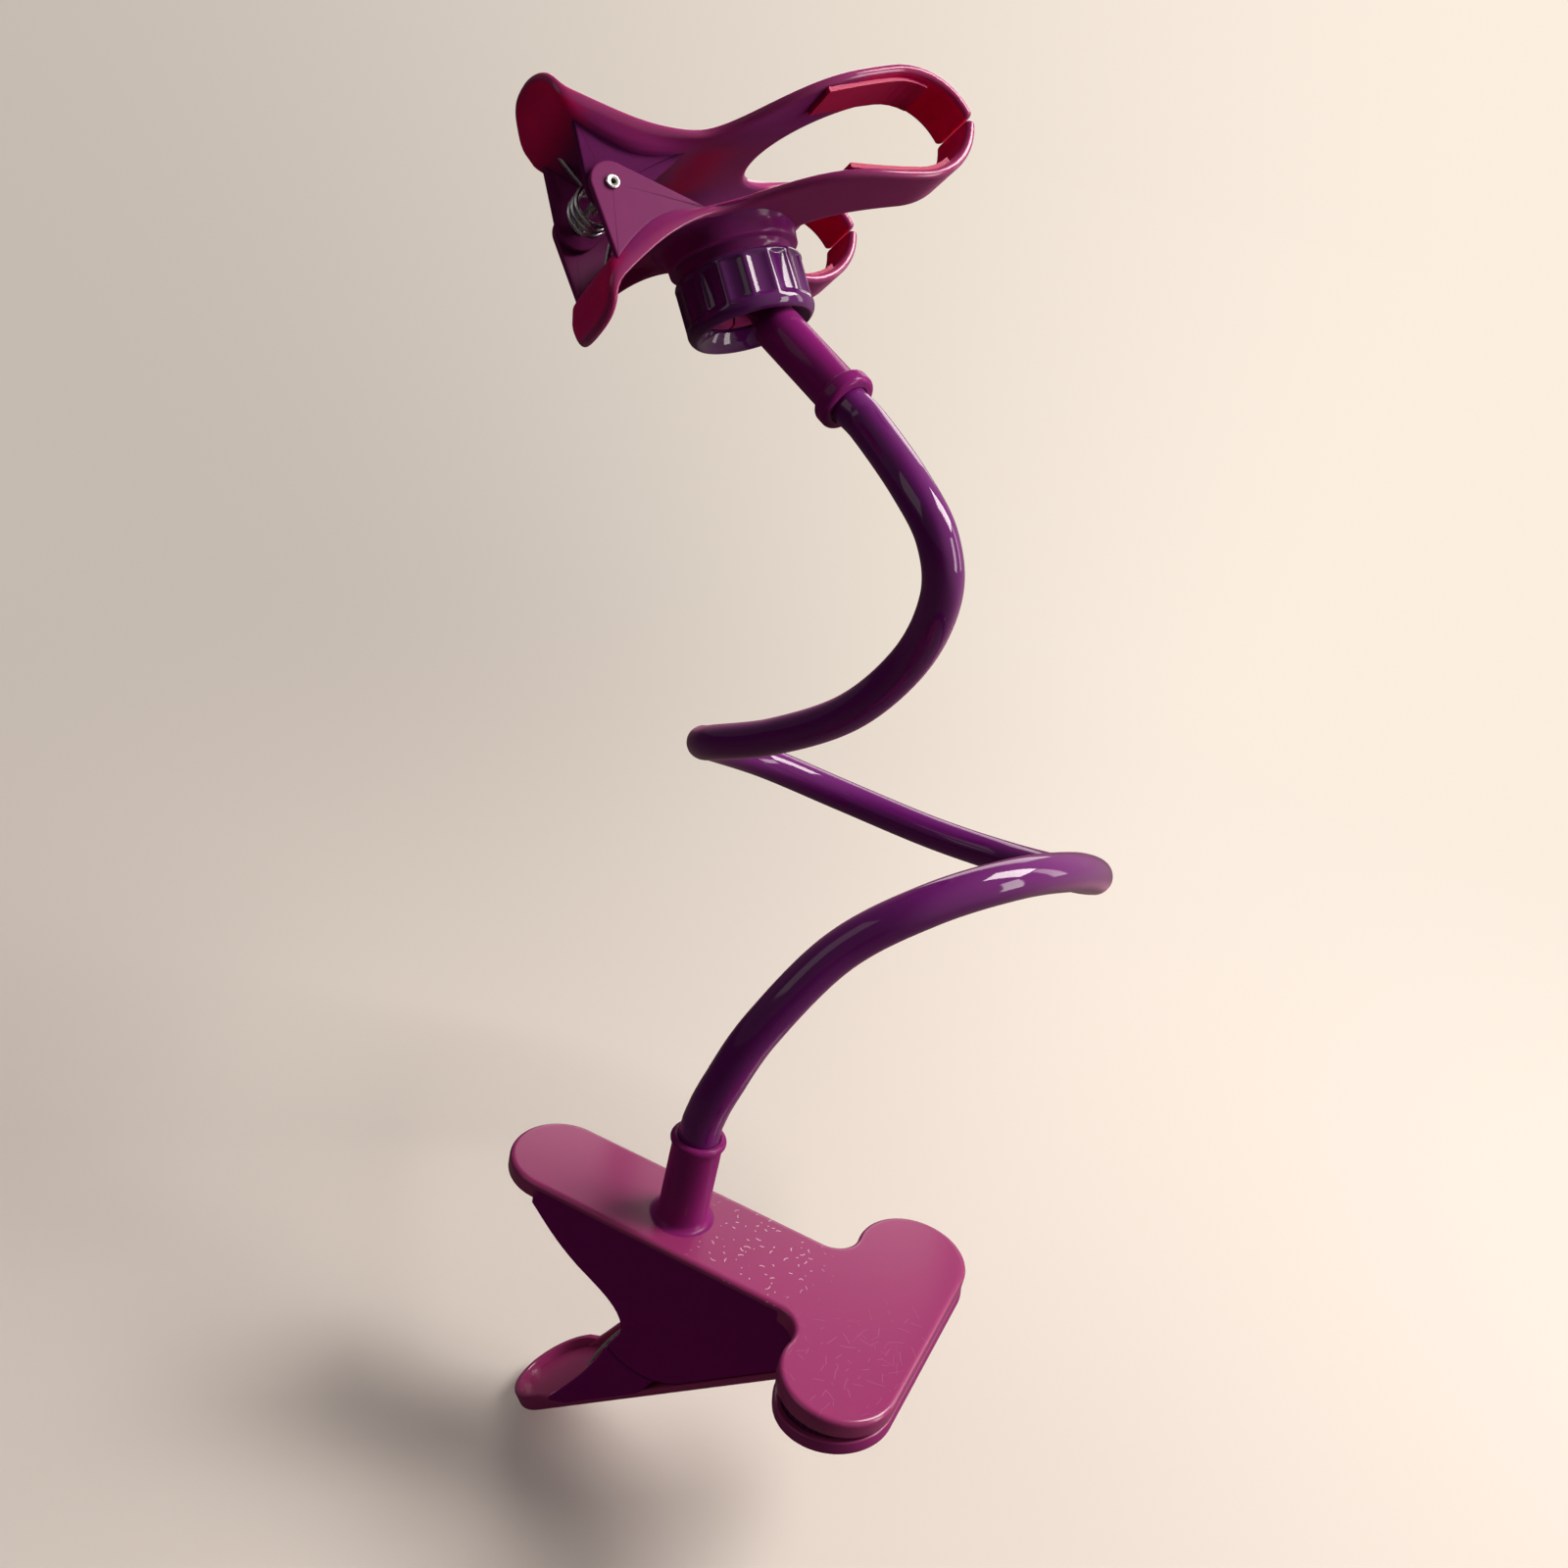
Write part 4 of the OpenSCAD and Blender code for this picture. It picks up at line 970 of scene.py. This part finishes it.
def jawEars(part, up, outerY, hole, paintedLightShade, shine):
    first, r, thick = len(part["faces"]), jaw["earR"], jaw["earT"]
    edge = [handleRun[i] + sideOf(handleRun, i, 1) * scoopAt(handleRun[i][0], outerY - thick / 2)
            for i in range(15, len(handleRun))]
    start, end = tangentPoint(r, edge[0], 1), tangentPoint(r, edge[-1], -1)
    a0, a1 = degrees(atan2(start[1], start[0])), degrees(atan2(end[1], end[0]))
    outline = joined(arc((0, 0), r, a0, a1 + 360, 30), line(end, edge[-1], 8), edge[::-1],
                     line(edge[0], start, 8))[:-1]
    for side in (1, -1):
        eyePanel(part, outline, hole, thick, jaw["earEdge"],
                 lambda u, v, h: onHead(u, side * (outerY - thick / 2 + h), up * v), paintedLightShade)
    part["patches"].append((first, len(part["faces"]), 1))
    part["shine"] += [shine] * (len(part["points"]) - len(part["shine"]))


# boss under the rear jaw and the split collet that holds the ball
collet = {"ballR": 8.05, "fingers": 8, "slot": 4.8, "boss": [(0.0, -18.0), (14, -17.8)],
          "flare": [(25, -17), (20.4, -15.6), (20.2, -13), (20, -9)],
          "shoulder": [(19.7, -8.75), (17.8, -8.75), (17.4, -8.4), (17.4, -5.3), (15.4, -5.3), (15.4, -4.0),
                       (8.0, -4.0)],
          "finger": [(15.4, -4.0), (15.4, 5.2), (15.1, 5.6), (13.6, 6.9), (13.2, 7.0), (10.8, 7.0), (10.4, 6.8),
                     (7.5, 3.1)]}


def colletAndBoss(part):
    def onBall(a):
        return collet["ballR"] * cos(radians(a)), collet["ballR"] * sin(radians(a))

    cavity = [onBall(-a) for a in range(30, 91, 10)]
    # painted shade on the boss and shoulder, a little painted light on the fingers
    lathe(part, collet["boss"] + bezier(*collet["flare"], 12) + collet["shoulder"] + cavity, onJoint, 96, paintedLightShade=-0.5)
    finger = [cavity[0]] + collet["finger"] + [onBall(a) for a in (18, 10, 0, -10, -20)]
    pitch, half = 360 / collet["fingers"], collet["slot"] / 2
    for i in range(collet["fingers"]):
        lathe(part, finger, onJoint, 10, start=pitch * i + half, end=pitch * (i + 1) - half, paintedLightShade=0.1)


rear, front = blank(), blank()
jawSheet(rear, -1)
# painted light on the rear ears; the front ears' outer faces get none and show the ear plastic's painted shade, their
# inner faces painted light
jawEars(rear, -1, jaw["earY"], jaw["rivetR"] + 0.02, (0.6, 0.6), 0.22)
colletAndBoss(rear)
jawSheet(front, 1)
jawEars(front, 1, jaw["earY"] - jaw["earT"] - jaw["gap"], jaw["rivetR"] + 0.05, (0.0, 0.4), 0.03)
rearJaw = makePiece("rearJaw", rear, clampPlastic, earPlastic, sharp=50)
frontJaw = makePiece("frontJaw", front, clampPlastic, earPlastic, sharp=50)
for piece, body, node in ((rearJaw, "rear_clamp", "rear_jaw"), (frontJaw, "front_clamp", "front_jaw")):
    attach(piece, body)
    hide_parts(node)

# tubular rivet with rolled ends
rivet = {"r": 1.7, "hole": 0.75, "half": 17.3, "roll": 0.4}


def rivetProfile():
    roll, hole, end = rivet["roll"], rivet["hole"], rivet["half"] + rivet["roll"]
    profile = [(rivet["r"], 0.0)] + arc((rivet["r"], end), roll, -90, 90, 8)
    profile += [(hole + 0.45, end + roll - 0.08), (hole + 0.1, end + 0.2), (hole, end - 0.3)]
    profile = [(r, -w) for r, w in profile[:0:-1]] + profile
    return profile + [profile[0]]


rivetPart = blank()
lathe(rivetPart, rivetProfile(), lambda x, y, w: onHead(x, w, y), 40)
clampRivet = makePiece("clampRivet", rivetPart, rivetSteel)
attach(clampRivet, "rear_clamp")
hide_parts("clamp_hinge_rivet")


# torsion springs: a leg to the coil's bottom, the coil round the pin, a leg from its top
def springPath(spring, place):
    turned = spring["end"] - spring["start"]
    half = spring["pitch"] * turned / 720
    count = round(turned / spring["step"])
    coil = []
    for i in range(count + 1):
        a = radians(spring["start"] + turned * i / count)
        coil.append(Vector((spring["r"] * cos(a), half * (2 * i / count - 1), spring["r"] * sin(a))))
    lead = spline([Vector((x, -half, z)) for x, z in spring["first"]] + coil[:2], 6)[:-6]
    tail = spline(coil[-2:] + [Vector((x, half, z)) for x, z in spring["second"]], 6)[6:]
    return [place(*p) for p in lead[:-1] + coil + tail[1:]], half


clipSpring = {"r": 6.2, "pitch": 2.5, "start": 270, "end": 1890, "step": 12, "wire": 1.0,
              "first": [(-22, -44.1), (-18, -31), (-12, -18.5), (-5.5, -8.8)],
              "second": [(-5.5, 7.8), (-12, 12.5), (-20, 17.8), (-29, 23), (-32, 24.3)]}
clampSpring = {"r": 5.8, "pitch": 3.2, "start": -24, "end": 1104, "step": 12, "wire": 0.8,
               "first": [(-4.8, -22.8), (-3.6, -20.6), (-1.6, -16.2), (3.2, -7.2)],
               "second": [(3.2, 7.2), (-1.6, 16.2), (-3.6, 20.6), (-4.8, 22.8)]}


for name, spring, place, node, pair in (
        ("clipSpring", clipSpring, onPin, "base_spring", ("clip_lower", "root")),
        ("clampSpring", clampSpring, onHead, "clamp_spring", ("rear_clamp", "front_clamp"))):
    path, half = springPath(spring, place)
    part = blank()
    tube(part, path, spring["wire"], 16, place(0, 1, 0) - place(0, 0, 0), domed=True)
    wire = makePiece(name, part, springSteel)
    tuple(place(0, -half, 0) * mm)
    tuple(place(0, half, 0) * mm)
    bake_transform(wire)
    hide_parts(node)
print("phone clamp made")

# CAD nodes that keep their own shape get their finish here
finishes = [(clipRubber, ("base_upper_pad", "base_lower_pad")), (coreRod, ("arm_core",)),
            (screwSteel, ("base_hinge_pin", "arm_fixing_screw", "arm_screw_washer")),
            (forkRubber, ("rear_pad_near", "rear_pad_far", "front_pad_near", "front_pad_far"))]
for material, nodes in finishes:
    for node in nodes:
        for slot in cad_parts[node].material_slots:
            slot.material = material

# floor, backdrop, light and camera; far off, the floor passes into the backdrop's tone
stage = {"floor": (0.77, 0.705, 0.645), "bounce": (0.17, 0.14, 0.13), "size": 9.0, "drop": 0.0015, "farFade": 0.95,
         "fill": (0.075, 0.066, 0.075), "dim": (0.56, 0.495, 0.44), "bright": (0.97, 0.86, 0.745),
         "slant": (-0.86, -0.01), "upShare": 0.3, "mirrored": (0.10, 0.085, 0.08), "roomSide": (0.86, 0.36, 0.36),
         "roomDark": 0.03, "roomLight": 0.48, "roomTurn": 0.8}
floorZ = cadBox[0][2] - stage["drop"]


def backdropTone():
    # the pale wall with painted light from +X: dimmer towards -X, brighter towards +X and upwards; gloss sees little
    # of the room's dark side, a painted dark reflection
    group, given, result = newGroup("backdropTone", {"Direction": None},
                                    {"Colour": "NodeSocketColor", "Gloss": "NodeSocketFloat"})
    unit = vectorNode(group, "NORMALIZE", given.outputs[0])[0]
    split = group.nodes.new("ShaderNodeSeparateXYZ")
    group.links.new(unit, split.inputs[0])
    slant = mathNode(group, "ADD", split.outputs[0], times(group, split.outputs[2], stage["upShare"]))
    wall = mixColour(group, rangeNode(group, slant, *stage["slant"]), stage["dim"], stage["bright"])
    group.links.new(wall, result.inputs["Colour"])
    facing = vectorNode(group, "DOT_PRODUCT", unit, stage["roomSide"])["Value"]
    gloss = rangeNode(group, facing, 0.0, stage["roomTurn"], stage["roomDark"], stage["roomLight"])
    group.links.new(gloss, result.inputs["Gloss"])
    return group


toneGroup = backdropTone()


def seenRays(tree, gloss):
    # camera rays see the backdrop whole, glossy ones a share of it
    rays = tree.nodes.new("ShaderNodeLightPath").outputs
    seen = mathNode(tree, "ADD", rays["Is Camera Ray"], times(tree, rays["Is Glossy Ray"], gloss), clamp=True)
    return mathNode(tree, "ADD", seen, rays["Is Transmission Ray"], clamp=True)


# the floor is pale to the camera but dark to bounced and glossy rays: painted shade on the object's undersides and
# painted dark reflections in its gloss
def stageMaterial():
    material, tree, shader = newMaterial("paleStage")
    glossy = tree.nodes.new("ShaderNodeLightPath").outputs["Is Glossy Ray"]
    under = mixColour(tree, glossy, stage["bounce"], stage["mirrored"])
    tree.links.new(mixColour(tree, seenRays(tree, 0.0), under, stage["floor"]), shader.inputs["Base Color"])
    setValues(shader, Roughness=0.9, Specular_IOR_Level=0.1)
    place = objectPlace(tree)
    tone = groupNode(tree, toneGroup)
    tree.links.new(place, tone.inputs[0])
    far = tree.nodes.new("ShaderNodeEmission")
    tree.links.new(tone.outputs["Colour"], far.inputs["Color"])
    tree.links.new(seenRays(tree, tone.outputs["Gloss"]), far.inputs["Strength"])
    mix = tree.nodes.new("ShaderNodeMixShader")
    distance = vectorNode(tree, "LENGTH", place)["Value"]
    tree.links.new(rangeNode(tree, distance, 0.0, stage["farFade"]), mix.inputs[0])
    tree.links.new(shader.outputs[0], mix.inputs[1])
    tree.links.new(far.outputs[0], mix.inputs[2])
    tree.links.new(mix.outputs[0], tree.nodes["Material Output"].inputs["Surface"])
    return material


floorMesh = bpy.data.meshes.new("floor")
corners = [(x * stage["size"], y * stage["size"], floorZ) for x, y in ((-1, -1), (1, -1), (1, 1), (-1, 1))]
floorMesh.from_pydata(corners, [], [(0, 1, 2, 3)])
floorMesh.materials.append(stageMaterial())
floor = addObject("floor", floorMesh)

world = bpy.data.worlds.new("studio")
bpy.context.scene.world = world
world.use_nodes = True
tree = world.node_tree
tone = groupNode(tree, toneGroup)
tree.links.new(tree.nodes.new("ShaderNodeTexCoord").outputs["Generated"], tone.inputs[0])
sky = mixColour(tree, seenRays(tree, tone.outputs["Gloss"]), stage["fill"], tone.outputs["Colour"])
tree.links.new(sky, tree.nodes["Background"].inputs["Color"])

lamps = {
    "windowKey": {"from": (0.62, 0.50, 1.10), "size": (0.55, 0.75), "power": 19.6, "colour": (1.0, 0.95, 0.90)},
    "sideWindow": {"from": (1.70, 0.25, 0.50), "size": (0.45, 1.1), "power": 10.0, "colour": (1.0, 0.93, 0.88)},
    "backWindow": {"from": (1.15, 1.10, 0.55), "size": (0.30, 1.0), "power": 3.0, "colour": (1.0, 0.93, 0.88)},
    "wallGlow": {"from": (-0.50, 1.40, 0.75), "size": (1.0, 0.7), "power": 6.0, "colour": (1.0, 0.92, 0.86)},
    "leftGlow": {"from": (-0.9, -0.9, 0.8), "size": (0.8, 0.8), "power": 1.2, "colour": (1.0, 0.9, 0.85)}}
target = Vector((-0.06, 0.07, 0.15))
for name, lamp in lamps.items():
    light = bpy.data.lights.new(name, "AREA")
    light.shape = "RECTANGLE"
    light.size, light.size_y = lamp["size"]
    light.energy = lamp["power"]
    light.color = lamp["colour"]
    holder = addObject(name, light)
    holder.location = lamp["from"]
    holder.visible_camera = False
    holder.rotation_euler = (target - Vector(lamp["from"])).to_track_quat("-Z", "Y").to_euler()

view = {"place": (0.0605, -0.3434, 0.3191), "right": (0.8872, 0.4159, 0.1999), "up": (-0.3456, 0.3118, 0.8851),
        "lens": 36, "sensor": 36, "near": 0.01}
camera = bpy.data.cameras.new("camera")
camera.lens, camera.sensor_width, camera.sensor_fit = view["lens"], view["sensor"], "HORIZONTAL"
camera.clip_start = view["near"]
eye = addObject("camera", camera)
right, up = Vector(view["right"]).normalized(), Vector(view["up"]).normalized()
back = right.cross(up).normalized()
turned = Matrix((right, back.cross(right), back)).transposed().to_4x4()
eye.matrix_world = Matrix.Translation(view["place"]) @ turned
bpy.context.scene.camera = eye
bpy.context.scene.view_settings.view_transform = "Standard"
print("stage and camera set")
